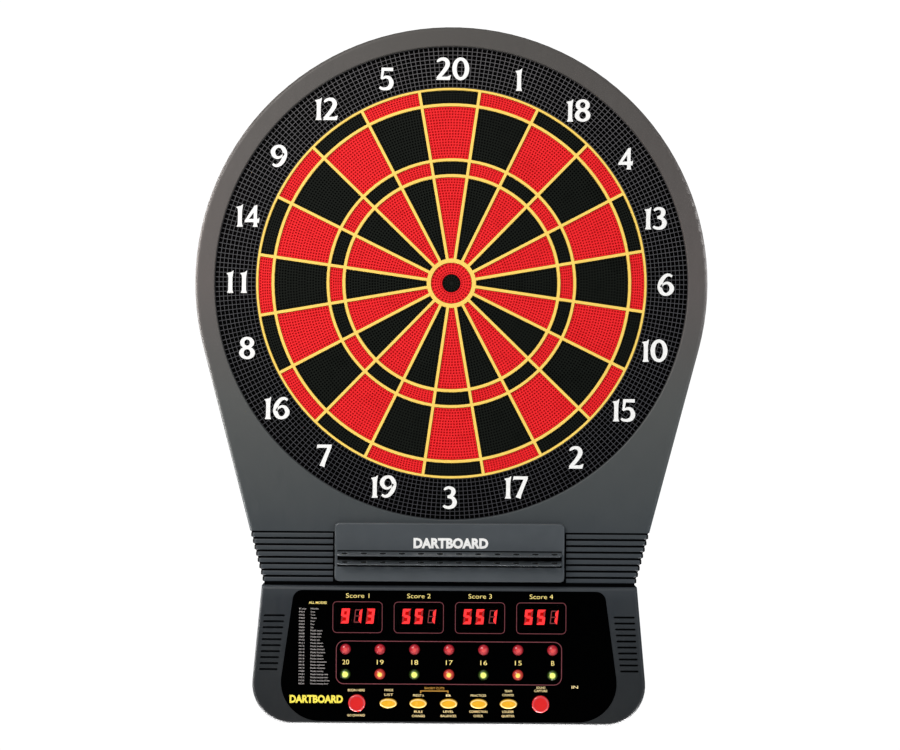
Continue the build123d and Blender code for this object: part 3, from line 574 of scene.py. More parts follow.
def perforated(shell, spot, counts, closed, depths, hole, hole_floor):
    """A sheet of rows of square pits. spot(row edge, share across, inset) gives a point.

    Neighbouring rows may have different counts, so a row's edge has the corners of both.
    depths are those of the front and of the pits' floors, hole and hole_floor the pits' share
    of a cell at its mouth and at its floor. Returns the corners that were made, by row edge
    and share across, and the shares on each row edge.
    """
    rows = len(counts)
    marks = []
    for edge in range(rows + 1):
        beside = counts[max(edge - 1, 0):edge + 1]
        shares = {Fraction(i, count) for count in beside for i in range(count + 1)}
        marks.append(sorted(shares - {Fraction(1)} if closed else shares))
    made = {}
    for edge, shares in enumerate(marks):
        for share in shares:
            made[edge, share] = shell.corner(*spot(edge, float(share), 0.0), depths[0])

    def edge_run(edge, start, end):
        inside = [share for share in marks[edge] if start <= share <= end]
        if closed and end == 1:
            inside.append(Fraction(0))
        return [made[edge, share] for share in inside]

    for row, count in enumerate(counts):
        for i in range(count):
            start, end = Fraction(i, count), Fraction(i + 1, count)
            mouth, floor = [], []
            for share_of_cell, run, depth in ((hole, mouth, depths[0]), (hole_floor, floor, depths[1])):
                wall = (1 - share_of_cell) / 2
                for along, across in ((wall, wall), (wall, 1 - wall), (1 - wall, 1 - wall), (1 - wall, wall)):
                    share = float(start) + across / count
                    run.append(shell.corner(*spot(row + along, share, 0.0), depth))
            low = edge_run(row, start, end)
            high = edge_run(row + 1, start, end)
            shell.faces.append((*low, mouth[1], mouth[0]))
            shell.faces.append((*high[::-1], mouth[3], mouth[2]))
            shell.faces.append((low[0], mouth[0], mouth[3], high[0]))
            shell.faces.append((low[-1], high[-1], mouth[2], mouth[1]))
            shell.strip(mouth, floor, closed=True)
            shell.faces.append(tuple(floor))
    return made, marks


# ---------------------------------------------------------------- the scoring beds

NUMBERS = (20, 1, 18, 4, 13, 6, 10, 15, 2, 17, 3, 19, 7, 16, 8, 11, 14, 9, 12, 5)
SECTOR = 2 * math.pi / len(NUMBERS)
TARGET_TURN = math.radians(0.9)  # anticlockwise, as the spider sits in the ring
SPOKE_HALF = 1.5
BED_GAP = 0.35
BANDS = {
    "inner_single": (24.9, 106.8),
    "treble": (110.0, 122.9),
    "outer_single": (125.9, 178.3),
    "double": (181.3, 194.5),
}
HOLE_PITCH = 2.85
BED_TOP = 40.0
BED_BACK = 28.0
PIT_DEPTH = 1.1
PIT_MOUTH = 0.62
PIT_FLOOR = 0.46
BED_CHAMFER = 0.45
BED_LEVELS = (BED_TOP - PIT_DEPTH, BED_TOP)


def bed(number, sector, band, material, slot):
    """One scoring bed: a perforated face with a chamfered edge over a solid block."""
    inner, outer = BANDS[band]
    rows = round((outer - inner) / HOLE_PITCH)
    middle = sector * SECTOR - TARGET_TURN

    def spot(edge, share, inset):
        edge_inset = BED_CHAMFER + inset
        start = inner + BED_GAP + edge_inset
        radius = start + (outer - BED_GAP - edge_inset - start) * edge / rows
        half = SECTOR / 2 - math.asin((SPOKE_HALF + BED_GAP + edge_inset) / radius)
        return polar(radius, middle + (2 * share - 1) * half)

    counts = []
    for row in range(rows):
        left = spot(row + 0.5, 0.0, 0.0)
        right = spot(row + 0.5, 1.0, 0.0)
        counts.append(max(1, round(math.dist(left, right) / HOLE_PITCH)))
    shell = Shell()
    depths = (BED_TOP, BED_TOP - PIT_DEPTH)
    made, marks = perforated(shell, spot, counts, False, depths, PIT_MOUTH, PIT_FLOOR)
    rim = [(0, share) for share in marks[0]]
    rim += [(edge, Fraction(1)) for edge in range(1, rows)]
    rim += [(rows, share) for share in marks[rows][::-1]]
    rim += [(edge, Fraction(0)) for edge in range(rows - 1, 0, -1)]
    loops = [[made[key] for key in rim]]
    for depth in (BED_TOP - BED_CHAMFER, BED_BACK):
        loops.append([shell.corner(*spot(edge, float(share), -BED_CHAMFER), depth) for edge, share in rim])
    for first, second in zip(loops, loops[1:]):
        shell.strip(first, second, closed=True)
    shell.faces.append(tuple(loops[-1]))
    node = f"beds_{number}"
    piece = shell.build(f"{band}_{number}", material, node, slot)
    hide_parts(node)


def perforated_ring(
    name, radii, counts, depths, back, material, body, slot, chamfer=0.3, hole=PIT_MOUTH, hole_floor=PIT_FLOOR
):
    """A ring, or with a zero inner radius a disc, with the same number of pits in each row."""
    inner, outer = radii
    rows = len(counts)

    def spot(edge, share, inset):
        start = inner + chamfer + inset
        radius = start + (outer - chamfer - inset - start) * edge / rows
        return polar(radius, share * 2 * math.pi)

    shell = Shell()
    made, marks = perforated(shell, spot, counts, True, depths, hole, hole_floor)
    inner_loop = [made[0, share] for share in marks[0]]
    outer_loop = [made[rows, share] for share in marks[rows]]
    for depth in (depths[0] - chamfer, back):
        lower_inner = [shell.corner(*spot(0, float(share), -chamfer), depth) for share in marks[0]]
        lower_outer = [shell.corner(*spot(rows, float(share), -chamfer), depth) for share in marks[rows]]
        shell.strip(inner_loop, lower_inner, closed=True)
        shell.strip(outer_loop, lower_outer, closed=True)
        inner_loop, outer_loop = lower_inner, lower_outer
    shell.strip(inner_loop, outer_loop, closed=True)
    return shell.build(name, material, body, slot)


def add_beds(red, black):
    """Twenty sectors of four beds, singles in one colour and doubles and trebles in the other."""
    for sector, number in enumerate(NUMBERS):
        single, multiple = (red, black) if sector % 2 == 0 else (black, red)
        for band in BANDS:
            kind = single if "single" in band else multiple
            bed(number, sector, band, *kind)
    outer = perforated_ring(
        "outer_bull_face", (9.3, 20.25), (32,) * 4, (BED_TOP, BED_TOP - PIT_DEPTH), BED_BACK, red[0],
        "outer_bull", red[1],
    )
    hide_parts("outer_bull")
    inner = perforated_ring(
        "inner_bull_face", (1.6, 8.9), (14,) * 3, (BED_TOP, BED_TOP - PIT_DEPTH), BED_BACK, black[0],
        "inner_bull", black[1], chamfer=0.5,
    )
    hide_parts("inner_bull")
    cap = lathe([(0.0, BED_TOP), (1.8, BED_TOP), (2.2, BED_TOP - 0.5), (2.2, BED_BACK), (0.0, BED_BACK)], 24)
    cap.build("inner_bull_centre", black[0], "inner_bull", black[1])


def lathe(profile, steps, centre=(0.0, 0.0)):
    """A turned shape about an axis to the front. profile has (radius, depth) from the tip round."""
    shell = Shell()
    rings = []
    for radius, depth in profile:
        if radius == 0.0:
            rings.append([shell.corner(centre[0], centre[1], depth)] * steps)
            continue
        ring = []
        for step in range(steps):
            x, z = polar(radius, 2 * math.pi * step / steps)
            ring.append(shell.corner(centre[0] + x, centre[1] + z, depth))
        rings.append(ring)
    for first, second in zip(rings, rings[1:]):
        for i in range(steps):
            j = (i + 1) % steps
            face = (first[i], first[j], second[j], second[i])
            shell.faces.append(tuple(dict.fromkeys(face)))
    return shell


# ---------------------------------------------------------------- catch ring and numerals

NUMERAL_R = 215.9
NUMERAL_HEIGHT = 22.5
NUMERAL_DEPTHS = (GRID_TOP - 0.2, 42.3)
NUMERAL_GAP = 0.06
ONES_GAP = 0.30


def curve_through(points, steps=7):
    """Catmull-Rom points through (x, y, width) marks, ends included."""
    padded = [points[0], *points, points[-1]]
    result = []
    for a, b, c, d in zip(padded, padded[1:], padded[2:], padded[3:]):
        for step in range(steps):
            t = step / steps
            point = []
            for p, q, r, s in zip(a, b, c, d):
                turn = 2 * p - 5 * q + 4 * r - s
                bend = 3 * q - p - 3 * r + s
                point.append(0.5 * (2 * q + (r - p) * t + turn * t * t + bend * t ** 3))
            result.append(tuple(point))
    result.append(points[-1])
    return result


def stroke(points):
    """The outline of a brush stroke whose marks are (x, y, width)."""
    path = curve_through(points)
    left, right = [], []
    for i, (x, y, width) in enumerate(path):
        before, after = path[max(i - 1, 0)], path[min(i + 1, len(path) - 1)]
        run = Vector((after[0] - before[0], after[1] - before[1])).normalized()
        left.append((x - run.y * width / 2, y + run.x * width / 2))
        right.append((x + run.y * width / 2, y - run.x * width / 2))
    return left + right[::-1]


def loop(centre, half_width, half_height, side, end):
    """An oval loop that is thick at its sides and thin at its top and bottom: (outer, inner)."""
    outer, inner = [], []
    for step in range(40):
        angle = 2 * math.pi * step / 40
        sine, cosine = math.sin(angle), math.cos(angle)
        for line, sign in ((outer, 1), (inner, -1)):
            across = (half_width + sign * side / 2) * cosine
            up = (half_height + sign * end / 2) * sine
            line.append((centre[0] + across, centre[1] + up))
    return outer, inner


SIX = [
    (0.66, 0.86, 0.10), (0.52, 0.935, 0.12), (0.34, 0.87, 0.16), (0.17, 0.64, 0.19), (0.115, 0.36, 0.20),
    (0.22, 0.13, 0.17), (0.39, 0.06, 0.13), (0.57, 0.14, 0.17), (0.655, 0.32, 0.20), (0.57, 0.51, 0.16),
    (0.41, 0.575, 0.11), (0.24, 0.49, 0.09), (0.16, 0.38, 0.09),
]
DIGITS = {
    "0": (0.76, [loop((0.38, 0.5), 0.28, 0.44, 0.20, 0.14)]),
    "1": (0.31, [[
        (0.02, 0.0), (0.29, 0.0), (0.285, 0.04), (0.255, 0.12), (0.25, 0.35), (0.255, 0.7), (0.30, 1.0),
        (0.28, 1.0), (0.20, 0.93), (0.0, 0.89), (0.0, 0.86), (0.06, 0.80), (0.075, 0.65), (0.07, 0.35),
        (0.065, 0.12), (0.03, 0.04),
    ]]),
    "2": (0.65, [
        stroke([
            (0.03, 0.80, 0.05), (0.10, 0.87, 0.12), (0.24, 0.935, 0.13), (0.42, 0.90, 0.17),
            (0.505, 0.74, 0.20), (0.45, 0.56, 0.19), (0.32, 0.37, 0.17), (0.18, 0.20, 0.16),
            (0.06, 0.05, 0.16),
        ]),
        [(-0.01, 0.0), (0.60, 0.0), (0.65, 0.21), (0.60, 0.20), (0.50, 0.15), (0.20, 0.14), (0.05, 0.12)],
    ]),
    "3": (0.62, [
        stroke([
            (0.05, 0.83, 0.06), (0.12, 0.90, 0.12), (0.26, 0.945, 0.12), (0.42, 0.88, 0.17),
            (0.46, 0.74, 0.20),
            (0.38, 0.60, 0.15), (0.20, 0.53, 0.10),
        ]),
        stroke([
            (0.20, 0.53, 0.10), (0.42, 0.48, 0.15), (0.52, 0.30, 0.20), (0.44, 0.12, 0.18),
            (0.26, 0.05, 0.13), (0.10, 0.08, 0.12), (0.02, 0.14, 0.10),
        ]),
    ]),
    "4": (0.67, [
        stroke([(0.04, 0.23, 0.10), (0.28, 0.58, 0.13), (0.51, 0.93, 0.13)]),
        [(0.0, 0.20), (0.30, 0.21), (0.64, 0.18), (0.67, 0.41), (0.60, 0.36), (0.08, 0.345)],
        [(0.36, 0.0), (0.59, 0.0), (0.56, 0.10), (0.555, 0.60), (0.565, 0.98), (0.50, 0.96), (0.405, 0.80),
         (0.405, 0.10)],
    ]),
    "5": (0.65, [
        stroke([(0.17, 0.97, 0.14), (0.145, 0.75, 0.11), (0.11, 0.50, 0.10)]),
        [(0.10, 1.0), (0.62, 1.0), (0.62, 0.84), (0.58, 0.85), (0.12, 0.86)],
        stroke([
            (0.10, 0.49, 0.06), (0.28, 0.58, 0.12), (0.46, 0.53, 0.16), (0.545, 0.32, 0.20),
            (0.46, 0.12, 0.18), (0.27, 0.05, 0.13), (0.11, 0.07, 0.12), (0.02, 0.13, 0.10),
        ]),
    ]),
    "6": (0.76, [stroke(SIX)]),
    "7": (0.68, [
        [(0.0, 0.81), (0.05, 0.85), (0.30, 0.86), (0.64, 0.85), (0.68, 1.0), (0.04, 1.0), (0.02, 0.95)],
        stroke([(0.60, 0.94, 0.16), (0.44, 0.55, 0.17), (0.30, 0.20, 0.19), (0.24, 0.03, 0.24)]),
    ]),
    "8": (0.70, [loop((0.35, 0.745), 0.22, 0.20, 0.19, 0.12), loop((0.35, 0.285), 0.25, 0.225, 0.20, 0.12)]),
    "9": (0.76, [stroke([(0.77 - x, 1.0 - y, width) for x, y, width in SIX])]),
}


def slab(shell, outline, depths, hole=None):
    """A flat-faced block with this outline, and a hole through it if one is given."""
    back, front = depths
    lower = [shell.corner(x, z, back) for x, z in outline]
    upper = [shell.corner(x, z, front) for x, z in outline]
    shell.strip(lower, upper, closed=True)
    if hole is None:
        shell.faces.append(tuple(upper))
        shell.faces.append(tuple(lower[::-1]))
        return
    hole_lower = [shell.corner(x, z, back) for x, z in hole]
    hole_upper = [shell.corner(x, z, front) for x, z in hole]
    shell.strip(hole_upper, hole_lower, closed=True)
    shell.strip(upper, hole_upper, closed=True)
    shell.strip(hole_lower, lower, closed=True)


def add_numerals(material):
    """The upright numerals of the twenty sectors, standing on the catch ring's grid."""
    for sector, number in enumerate(NUMBERS):
        digits = str(number)
        gap = ONES_GAP if digits == "11" else NUMERAL_GAP
        width = sum(DIGITS[digit][0] for digit in digits) + gap * (len(digits) - 1)
        x, z = polar(NUMERAL_R, sector * SECTOR)
        left = x - width / 2 * NUMERAL_HEIGHT
        shell = Shell()
        for digit in digits:
            advance, forms = DIGITS[digit]
            for i, form in enumerate(forms):
                rings = form if isinstance(form, tuple) else (form,)
                moved = []
                for ring in rings:
                    moved.append([
                        (left + u * NUMERAL_HEIGHT, z + (v - 0.5) * NUMERAL_HEIGHT) for u, v in ring
                    ])
                lift = 0.01 * i
                slab(shell, moved[0], (NUMERAL_DEPTHS[0], NUMERAL_DEPTHS[1] + lift), *moved[1:])
            left += (advance + gap) * NUMERAL_HEIGHT
        shell.build(f"numeral_{number}", material)


# ---------------------------------------------------------------- the console's prints and lamps

PANEL_FRONT = front_of("display_panel")
PRINT_DEPTHS = (PANEL_FRONT - 0.02, PANEL_FRONT + 0.12)
DISPLAY_XS = (-91.9, -30.5, 30.9, 92.3)
DISPLAY_Z = -335.0
FRAME_SIZE = (50.0, 31.5)
FRAME_CENTRE_Z = -335.9
FRAME_LINE = 0.58
LIGHT_PITCH = 34.6
LIGHT_R = 5.4
UPPER_LIGHT_Z = -368.1
LOWER_LIGHT_Z = -393.0
LIGHT_FRAME = (226.6, 43.6, -381.2)
SCORE_LABEL_Z = -380.8
FRAME_CORNER = 4.2
LIGHT_FRAME_CORNER = 8.0
LIGHT_FRAME_LINE = 0.75
BRACKET = (-28.6, -0.2, -411.6, -408.8)  # left, right, low and high
BRACKET_LINE = 1.1
HEADING_Z = -314.2
HEADING_WIDTH = 23.4
BUTTON_DISH = 0.5
SCORES = ("20", "19", "18", "17", "16", "15", "B")
SEGMENT_BOX = (8.2, 15.0)
SEGMENT_LINE = 2.7
SEGMENT_GAP = 0.12
SEGMENT_SLANT = 0.11
SEGMENT_PITCH = 12.55
UNLIT_LINE = 0.8
# painted shade: a black sheet behind the slots stands in for the dark inside the case
SHADE_SHEET = (-394.0, -329.0, 162.5, 190.8)  # lowest and highest z, nearest and furthest x
SHADE_SHEET_DEPTHS = (45.15, 45.0)
SHADE_SHEET_THREADS = (24, 56)
LIT = {
    "9": "abcfgd", "1": "bc", "3": "abcdg", "5": "acdfg",
}


def rounded_outline(centre, size, radius, steps=8):
    """Points round a rectangle with arc corners."""
    points = []
    for turn, (sx, sz) in enumerate(((1, 1), (-1, 1), (-1, -1), (1, -1))):
        cx = centre[0] + sx * (size[0] / 2 - radius)
        cz = centre[1] + sz * (size[1] / 2 - radius)
        for step in range(steps + 1):
            angle = math.pi / 2 * (turn + step / steps)
            points.append((cx + radius * math.cos(angle), cz + radius * math.sin(angle)))
    return points


def printed_frame(shell, centre, size, radius, line):
    """A rounded rectangular line."""
    outer = rounded_outline(centre, size, radius)
    inner = rounded_outline(centre, (size[0] - 2 * line, size[1] - 2 * line), radius - line)
    slab(shell, outer, PRINT_DEPTHS, inner)


def segment_shapes(line):
    """The seven bars of a digit about its own centre, by letter, mitred where they meet."""
    half, high, gap = SEGMENT_BOX[0] / 2, SEGMENT_BOX[1] / 2, SEGMENT_GAP
    inset = (SEGMENT_LINE - line) / 2
    half -= inset
    high -= inset
    mid = line / 2

    def upright(side, up):
        outer, inner = side * half, side * (half - line)
        ends = [(outer, up * (high - gap)), (inner, up * (high - line - gap)), (inner, up * (mid + gap))]
        return ends + [(side * (half - mid), up * gap), (outer, up * gap)]

    def level(up):
        outer, inner = up * high, up * (high - line)
        return [
            (-half + gap, outer), (half - gap, outer), (half - line - gap, inner),
            (-half + line + gap, inner),
        ]

    middle = [
        (-half + mid + gap, 0.0), (-half + line + gap, mid), (half - line - gap, mid),
        (half - mid - gap, 0.0),
        (half - line - gap, -mid), (-half + line + gap, -mid),
    ]
    return {
        "a": level(1), "g": middle, "d": level(-1), "f": upright(-1, 1), "b": upright(1, 1),
        "e": upright(-1, -1), "c": upright(1, -1),
    }


def add_displays(lit, unlit, painted_glow):
    """Slanted seven-segment digits on the modules' faces, behind the windows, with a painted glow patch
    behind each lit digit other than 1.
    """
    face = front_of("score_displays")
    wide, thin = segment_shapes(SEGMENT_LINE), segment_shapes(UNLIT_LINE)
    lit_shell, unlit_shell, painted_glow_shell = Shell(), Shell(), Shell()

    def slant(middle, outline):
        return [(middle + u + SEGMENT_SLANT * v, DISPLAY_Z + v) for u, v in outline]

    for x, shown in zip(DISPLAY_XS, ("913", "551", "551", "551")):
        for order, digit in enumerate(shown):
            middle = x + (order - 1) * SEGMENT_PITCH
            for letter in wide:
                if letter in LIT[digit]:
                    slab(lit_shell, slant(middle, wide[letter]), (face - 0.1, face + 0.16))
                else:
                    slab(unlit_shell, slant(middle, thin[letter]), (face - 0.1, face + 0.12))
            # painted light: a glow patch behind the digit, standing in for its light spread in the window
            if digit != "1":
                half, high = SEGMENT_BOX[0] / 2 - 0.4, SEGMENT_BOX[1] / 2 - 0.4
                patch = [(half, high), (-half, high), (-half, -high), (half, -high)]
                slab(painted_glow_shell, slant(middle, patch), (face - 0.1, face + 0.06))
    lit_shell.build("display_digits_lit", lit, slot="display")
    unlit_shell.build("display_digits_unlit", unlit, slot="display")
    painted_glow_shell.build("display_digits_painted_glow", painted_glow, slot="display")


CAPITAL_HEIGHT = 0.69  # of the built-in letters, at size 1
NARROWING = 1.06  # width against height of lettering that is given no width


def letter_shapes(text, boldness):
    """The text as flat faces: its points at size 1 and the corner numbers of each face."""
    curve = bpy.data.curves.new("lettering", "FONT")
    curve.body = text
    curve.size = 1.0
    curve.offset = boldness
    curve.resolution_u = 3
    letters = bpy.data.objects.new("lettering", curve)
    drawn = bpy.data.meshes.new_from_object(letters)
    points = [(vertex.co.x, vertex.co.y) for vertex in drawn.vertices]
    faces = [tuple(polygon.vertices) for polygon in drawn.polygons]
    bpy.data.objects.remove(letters)
    bpy.data.curves.remove(curve)
    bpy.data.meshes.remove(drawn)
    return points, faces


def add_text(words, material, name, depths, boldness=0.0, centred=True):
    """Printed lettering in one piece. words holds (text, x, z, capital height, width or None)."""
    shell = Shell()
    for text, x, z, height, width in words:
        points, faces = letter_shapes(text, boldness)
        left = min(point[0] for point in points)
        right = max(point[0] for point in points)
        scale = height / CAPITAL_HEIGHT
        across = width / (right - left) if width else scale * NARROWING
        start = x - (right - left) * across / 2 if centred else x
        flat = [(start + (u - left) * across, z + (v - CAPITAL_HEIGHT / 2) * scale) for u, v in points]
        lower = [shell.corner(*point, depths[0]) for point in flat]
        upper = [shell.corner(*point, depths[1]) for point in flat]
        sides = {}
        for run in faces:
            shell.faces.append(tuple(upper[i] for i in run))
            shell.faces.append(tuple(lower[i] for i in run[::-1]))
            for i, j in zip(run, run[1:] + run[:1]):
                sides[frozenset((i, j))] = None if frozenset((i, j)) in sides else (i, j)
        for pair in sides.values():
            if pair:
                i, j = pair
                shell.faces.append((upper[i], lower[i], lower[j], upper[j]))
    return shell.build(name, material)


MODES = (
    "One", "Two", "Three", "Four", "Five", "Six", "Mode seven", "Mode eight", "Mode nine", "Mode ten",
    "Mode eleven", "Mode twelve", "Mode thirteen", "Mode fourteen", "Mode fifteen", "Mode sixteen",
    "Mode seventeen", "Mode eighteen", "Mode nineteen", "Mode twenty", "Mode twenty-one",
    "Mode twenty-two", "Mode twenty-three", "Mode twenty-four",
)
LIST_TOP_Z = -330.7
LIST_PITCH = 3.13
CODE_X = -147.7
NAME_X = -138.8


def add_prints(yellow, pale, grey, pink, bronze):
    """Frames, labels and a list of modes in plain generic lettering."""
    frames = Shell()
    for x in DISPLAY_XS:
        printed_frame(frames, (x, FRAME_CENTRE_Z), FRAME_SIZE, FRAME_CORNER, FRAME_LINE)
    frames.build("display_frames", pink)
    lamp_frame = Shell()
    printed_frame(lamp_frame, (0.0, LIGHT_FRAME[2]), LIGHT_FRAME[:2], LIGHT_FRAME_CORNER, LIGHT_FRAME_LINE)
    lamp_frame.build("light_frame", pink)
    headings = [(f"Score {i + 1}", x, HEADING_Z, 4.5, HEADING_WIDTH) for i, x in enumerate(DISPLAY_XS)]
    for i, score in enumerate(SCORES):
        headings.append((score, (i - 3) * LIGHT_PITCH + 0.4, SCORE_LABEL_Z, 4.7, 3.5 * len(score) - 0.3))
    add_text(headings, yellow, "headings", PRINT_DEPTHS, -0.008)
    labels = [
        ("BEGIN HERE", -92.6, -409.0, 2.3, 17.0), ("GO ONWARD", -92.6, -434.2, 2.3, 17.5),
        ("MODE", -60.0, -408.7, 2.2, 8.6), ("LIST", -60.0, -413.3, 2.2, 8.6),
        ("PRESET A", -30.2, -413.9, 2.2, 11.0), ("B", -0.2, -413.7, 2.2, 5.0),
        ("RULE", -30.2, -430.2, 2.2, 8.6), ("CHANGES", -30.2, -434.5, 2.2, 13.0),
        ("LEVEL", -0.1, -429.9, 2.2, 10.5), ("BALANCES", -0.1, -434.3, 2.2, 15.5),
        ("PRACTICES", 29.8, -413.6, 2.2, 15.5),
        ("CORRECTION", 29.8, -429.8, 2.2, 18.0), ("CHECK", 29.8, -434.1, 2.2, 9.5),
        ("TEAM", 59.6, -409.0, 2.2, 7.5), ("COUNTER", 59.6, -413.0, 2.2, 11.8),
        ("LOUDER", 59.6, -429.7, 2.2, 11.5), ("QUIETER", 59.6, -434.0, 2.2, 13.0),
        ("SOUND", 92.3, -405.4, 2.2, 9.0), ("CAPTURE", 92.3, -408.6, 2.2, 13.0),
        ("IN", 126.4, -404.6, 2.9, 6.4),
    ]
    add_text(labels, pale, "button_labels", PRINT_DEPTHS)
    add_text([("ALL MODES", -131.8, -321.5, 2.3, 18.0)], yellow, "list_heading", PRINT_DEPTHS, 0.01)
    bracket = Shell()
    left, right, low, high = BRACKET
    line = BRACKET_LINE
    outline = [
        (left, low), (left, high), (right, high), (right, low), (right - line, low),
        (right - line, high - line), (left + line, high - line), (left + line, low),
    ]
    slab(bracket, outline, PRINT_DEPTHS)
    bracket.build("bracket", bronze)
    add_text([("SHORT CUTS", -14.4, -406.6, 2.1, 20.0)], bronze, "bracket_label", PRINT_DEPTHS, 0.016)
    codes = [("Key", CODE_X + 0.9, LIST_TOP_Z + LIST_PITCH, 1.6, 7.0)]
    names = [("Mode", NAME_X, LIST_TOP_Z + LIST_PITCH, 1.6, 7.8)]
    for row, mode in enumerate(MODES):
        z = LIST_TOP_Z - LIST_PITCH * row
        codes.append((f"M{row + 1:02}", CODE_X, z, 1.5, 5.4))
        names.append((mode, NAME_X, z, 1.6, None))
    add_text(codes, grey, "list_codes", PRINT_DEPTHS)
    add_text(names, grey, "list_names", PRINT_DEPTHS, centred=False)


def add_vent_cloth(name, side, material):
    """A loosely woven black sheet behind one side's slots, so that nothing shows through them: painted shade
    in place of the dark inside the case.
    """
    shell = Shell()
    low, high, near, far = SHADE_SHEET

    def spot(edge, share, inset):
        return side * (near + (far - near) * share), low + (high - low) * edge / SHADE_SHEET_THREADS[1]

    made, marks = perforated(
        shell, spot, (SHADE_SHEET_THREADS[0],) * SHADE_SHEET_THREADS[1], False, SHADE_SHEET_DEPTHS, PIT_MOUTH, PIT_FLOOR
    )
    rim = [made[0, share] for share in marks[0]]
    rim += [made[edge, Fraction(1)] for edge in range(1, SHADE_SHEET_THREADS[1])]
    rim += [made[SHADE_SHEET_THREADS[1], share] for share in marks[-1][::-1]]
    rim += [made[edge, Fraction(0)] for edge in range(SHADE_SHEET_THREADS[1] - 1, 0, -1)]
    back = []
    for i in rim:
        x, y, z = shell.corners[i]
        back.append(shell.corner(x / MM, z / MM, SHADE_SHEET_DEPTHS[1] - 0.05))
    shell.strip(rim, back, closed=True)
    shell.faces.append(tuple(back))
    shell.build(name, material)


def add_lamp(name, x, z, material, slot):
    """One round lamp: a domed lens over a short cylinder."""
    top = front_of("upper_lights")
    profile = [(0.0, top)]
    for step in range(1, 9):
        angle = math.radians(90) * step / 8
        rise = (top - PANEL_FRONT + 1.0) * math.cos(angle)
        profile.append((LIGHT_R * math.sin(angle), PANEL_FRONT - 1.0 + rise))
    profile += [(LIGHT_R, PANEL_FRONT - 2.0), (0.0, PANEL_FRONT - 2.0)]
    dome = lathe(profile, 40, (x, z))
    return dome.build(name, material, slot=slot, smooth=True, origin=(x, z, PANEL_FRONT))


# ---------------------------------------------------------------- assembly

add_camera()
bpy.context.scene.view_settings.view_transform = "Standard"
add_world()
add_floor()
add_area_light("key", (-1.15, -1.75, 0.95), (0.0, 0.0, -0.05), (1.2, 1.0), 46.0, (1.0, 0.955, 0.92))
add_area_light("fill", (1.5, -1.6, -0.1), (0.0, 0.0, -0.1), (1.0, 1.4), 10.0, (0.90, 0.95, 1.0))
add_area_light("top", (0.0, -0.5, 1.5), (0.0, 0.0, 0.0), (1.6, 0.6), 5.0, (1.0, 0.98, 0.95))
add_area_light("under", (0.0, 0.0, -0.70), (0.0, 0.0, -0.4), (0.9, 0.1), 16.0, (1.0, 0.97, 0.97))
add_area_light("left_edge", (-0.75, 0.025, -0.06), (0.0, 0.025, -0.06), (0.1, 0.9), 9.0, (1.0, 0.97, 0.95))
add_area_light("right_edge", (0.75, 0.04, 0.16), (0.0, 0.04, 0.16), (0.1, 0.4), 3.0, (1.0, 0.98, 0.97))

# painted shade: the beds' pits are coloured darker than their faces
red_bed = two_level_plastic(
    "bed_red", (196, 14, 18), (242, 36, 42), *BED_LEVELS, rough=(0.5, 0.65), low_shine=0.1, shine=0.15
)
black_bed = two_level_plastic(
    "bed_black", (2, 3, 2), (11, 16, 10), *BED_LEVELS, rough=(0.5, 0.65), low_shine=0.05, shine=0.13
)
white_print = paint("white_ink", (250, 250, 248))
# painted light: the yellow, pale and grey inks glow, though print gives no light of its own
yellow_print = paint("yellow_ink", (250, 228, 136), glow=0.25)
pale_print = paint("pale_ink", (252, 228, 164), glow=0.3)
pink_print = paint("pink_ink", (122, 58, 66))
bronze_print = paint("bronze_ink", (190, 140, 50))
grey_print = paint("grey_ink", (176, 170, 168), glow=0.2)
mark_print = paint("mark_ink", (255, 238, 84))

add_beds((red_bed, "bed_red"), (black_bed, "bed_black"))

grid = grid_finish("catch_grid")
perforated_ring(
    "catch_ring_grid", GRID_RADII, (GRID_RIBS,) * GRID_ROWS, (GRID_TOP, GRID_BACK + 0.08), GRID_BACK, grid,
    FIXED_BODY, "catch", chamfer=0.15, hole=0.87, hole_floor=0.85,
)
add_numerals(white_print)
add_prints(yellow_print, pale_print, grey_print, pink_print, bronze_print)
add_text([("DARTBOARD", -132.7, -418.1, 7.0, 53.5)], mark_print, "panel_word", PRINT_DEPTHS, 0.05)
rack_print_depths = (RACK_FRONT - 0.05, RACK_FRONT + 0.15)
add_text([("DARTBOARD", 1.2, -261.3, 9.2, 75.0)], white_print, "rack_word", rack_print_depths, 0.05)
add_displays(
    paint("digit_lit", (236, 84, 86), glow=5.6),
    # painted light: the unlit segments glow, though they are not lit
    paint("digit_unlit", (150, 120, 124), glow=2.6),
    # painted light: the red glow patches behind the lit digits
    paint("digit_painted_glow", (140, 12, 8), glow=6.0),
)

# painted shade: black sheets behind the slots on both sides
shade_sheet = weave("vent_shade_sheet", (6, 6, 7), (2, 2, 3), 1400.0, 0.05, rough=0.95)
for side, name in ((-1, "vent_shade_sheet_left"), (1, "vent_shade_sheet_right")):
    add_vent_cloth(name, side, shade_sheet)

upper = lamp_lens("lens_red", (132, 20, 34), (186, 38, 46), (214, 76, 74), 0.34, 0.22)
green = lamp_lens("lens_green", (3, 9, 4), (54, 80, 18), (230, 246, 112), 0.50, 0.42)
orange = lamp_lens("lens_orange", (146, 28, 32), (176, 64, 40), (252, 206, 92), 0.40, 0.42)
for i in range(len(SCORES)):
    x = (i - 3) * LIGHT_PITCH
    lamp = add_lamp(f"upper_lamp_{i + 1}", x, UPPER_LIGHT_Z, upper, "light_red")
    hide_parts("upper_lights")
    is_green = i % 2 == 0
    kind = (green, "light_green") if is_green else (orange, "light_orange")
    lamp = add_lamp(f"lower_lamp_{i + 1}", x, LOWER_LIGHT_Z, *kind)
    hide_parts("lower_green_lights" if is_green else "lower_red_lights")

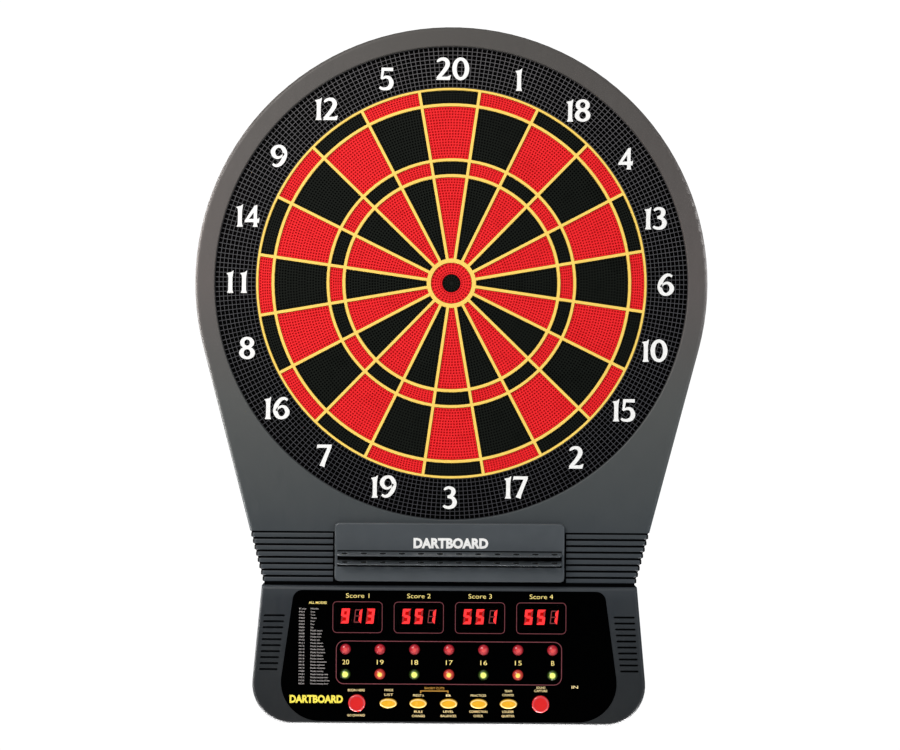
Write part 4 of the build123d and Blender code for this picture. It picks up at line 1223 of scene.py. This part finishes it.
button_top = front_of("start_button")
button_levels = (button_top - BUTTON_DISH, button_top)
# painted highlight: the buttons' raised rims are coloured paler than their dished faces
button_red = two_level_plastic(
    "button_red", (226, 34, 32), (214, 66, 74), *button_levels, rough=(0.16, 0.24), shine=0.6, coat=0.8
)
button_amber = two_level_plastic(
    "button_amber", (248, 184, 36), (255, 226, 140), *button_levels, rough=(0.2, 0.3), shine=0.5, coat=0.3
)
NODE_FINISHES = {
    housing_finish("housing_plastic"): ("front_housing",),
    plastic("cover_plastic", (34, 35, 37), rough=(0.5, 0.65), grain=0.06): ("rear_cover",),
    rack_finish("rack_plastic", (70, 75, 79)): ("dart_rack",),
    plastic("catch_plastic", (2, 2, 3), rough=(0.5, 0.6), shine=0.15): ("catch_ring",),
    plastic("spider_plastic", (253, 213, 98), rough=(0.38, 0.5), mottle=0.04): ("spider",),
    plastic("panel_gloss", (0, 0, 0), rough=(0.05, 0.11), grain=0.0, shine=0.04): ("display_panel",),
    clear_window("window_acrylic"): ("display_windows",),
    button_red: ("start_button", "record_button"),
    button_amber: (
        "menu_button", "options_button", "handicap_button", "audit_button", "volume_button",
    ),
    metal("screw_steel", (150, 150, 152)): (
        "cover_screws", "ring_screws", "spider_screws", "board_screws", "rack_screws", "main_board_screws",
    ),
    metal("speaker_steel", (96, 96, 100)): ("speaker_frame", "microphone"),
    weave("speaker_paper", (38, 36, 36), (24, 23, 23), 900.0, 0.1): ("speaker_cone",),
    weave("foam", (70, 70, 74), (50, 50, 54), 700.0, 0.3): ("foam_pad",),
    weave("rubber", (28, 28, 30), (20, 20, 22), 500.0, 0.1): ("rubber_mat",),
    plastic("film", (190, 196, 200), rough=(0.2, 0.35), grain=0.0): ("membrane_layers", "membrane_tail"),
    weave("fibreboard", (122, 92, 62), (98, 70, 46), 1200.0, 0.08): ("backing_board",),
    plastic("circuit_green", (24, 84, 48), rough=(0.25, 0.4), grain=0.01): ("main_board",),
    plastic("component_black", (22, 22, 24), rough=(0.4, 0.6)): ("board_components", "power_jack"),
    plastic("display_black", (3, 2, 2), rough=(0.5, 0.6), shine=0.08): ("score_displays",),
    plastic("switch_grey", (60, 60, 64), rough=(0.4, 0.55)): ("key_switches",),
    plastic("wire_red", (150, 24, 24), rough=(0.35, 0.5)): ("speaker_leads",),
}
for material, names in NODE_FINISHES.items():
    for name in names:
        data = nodes[name].data
        data.materials.clear()
        data.materials.append(material)
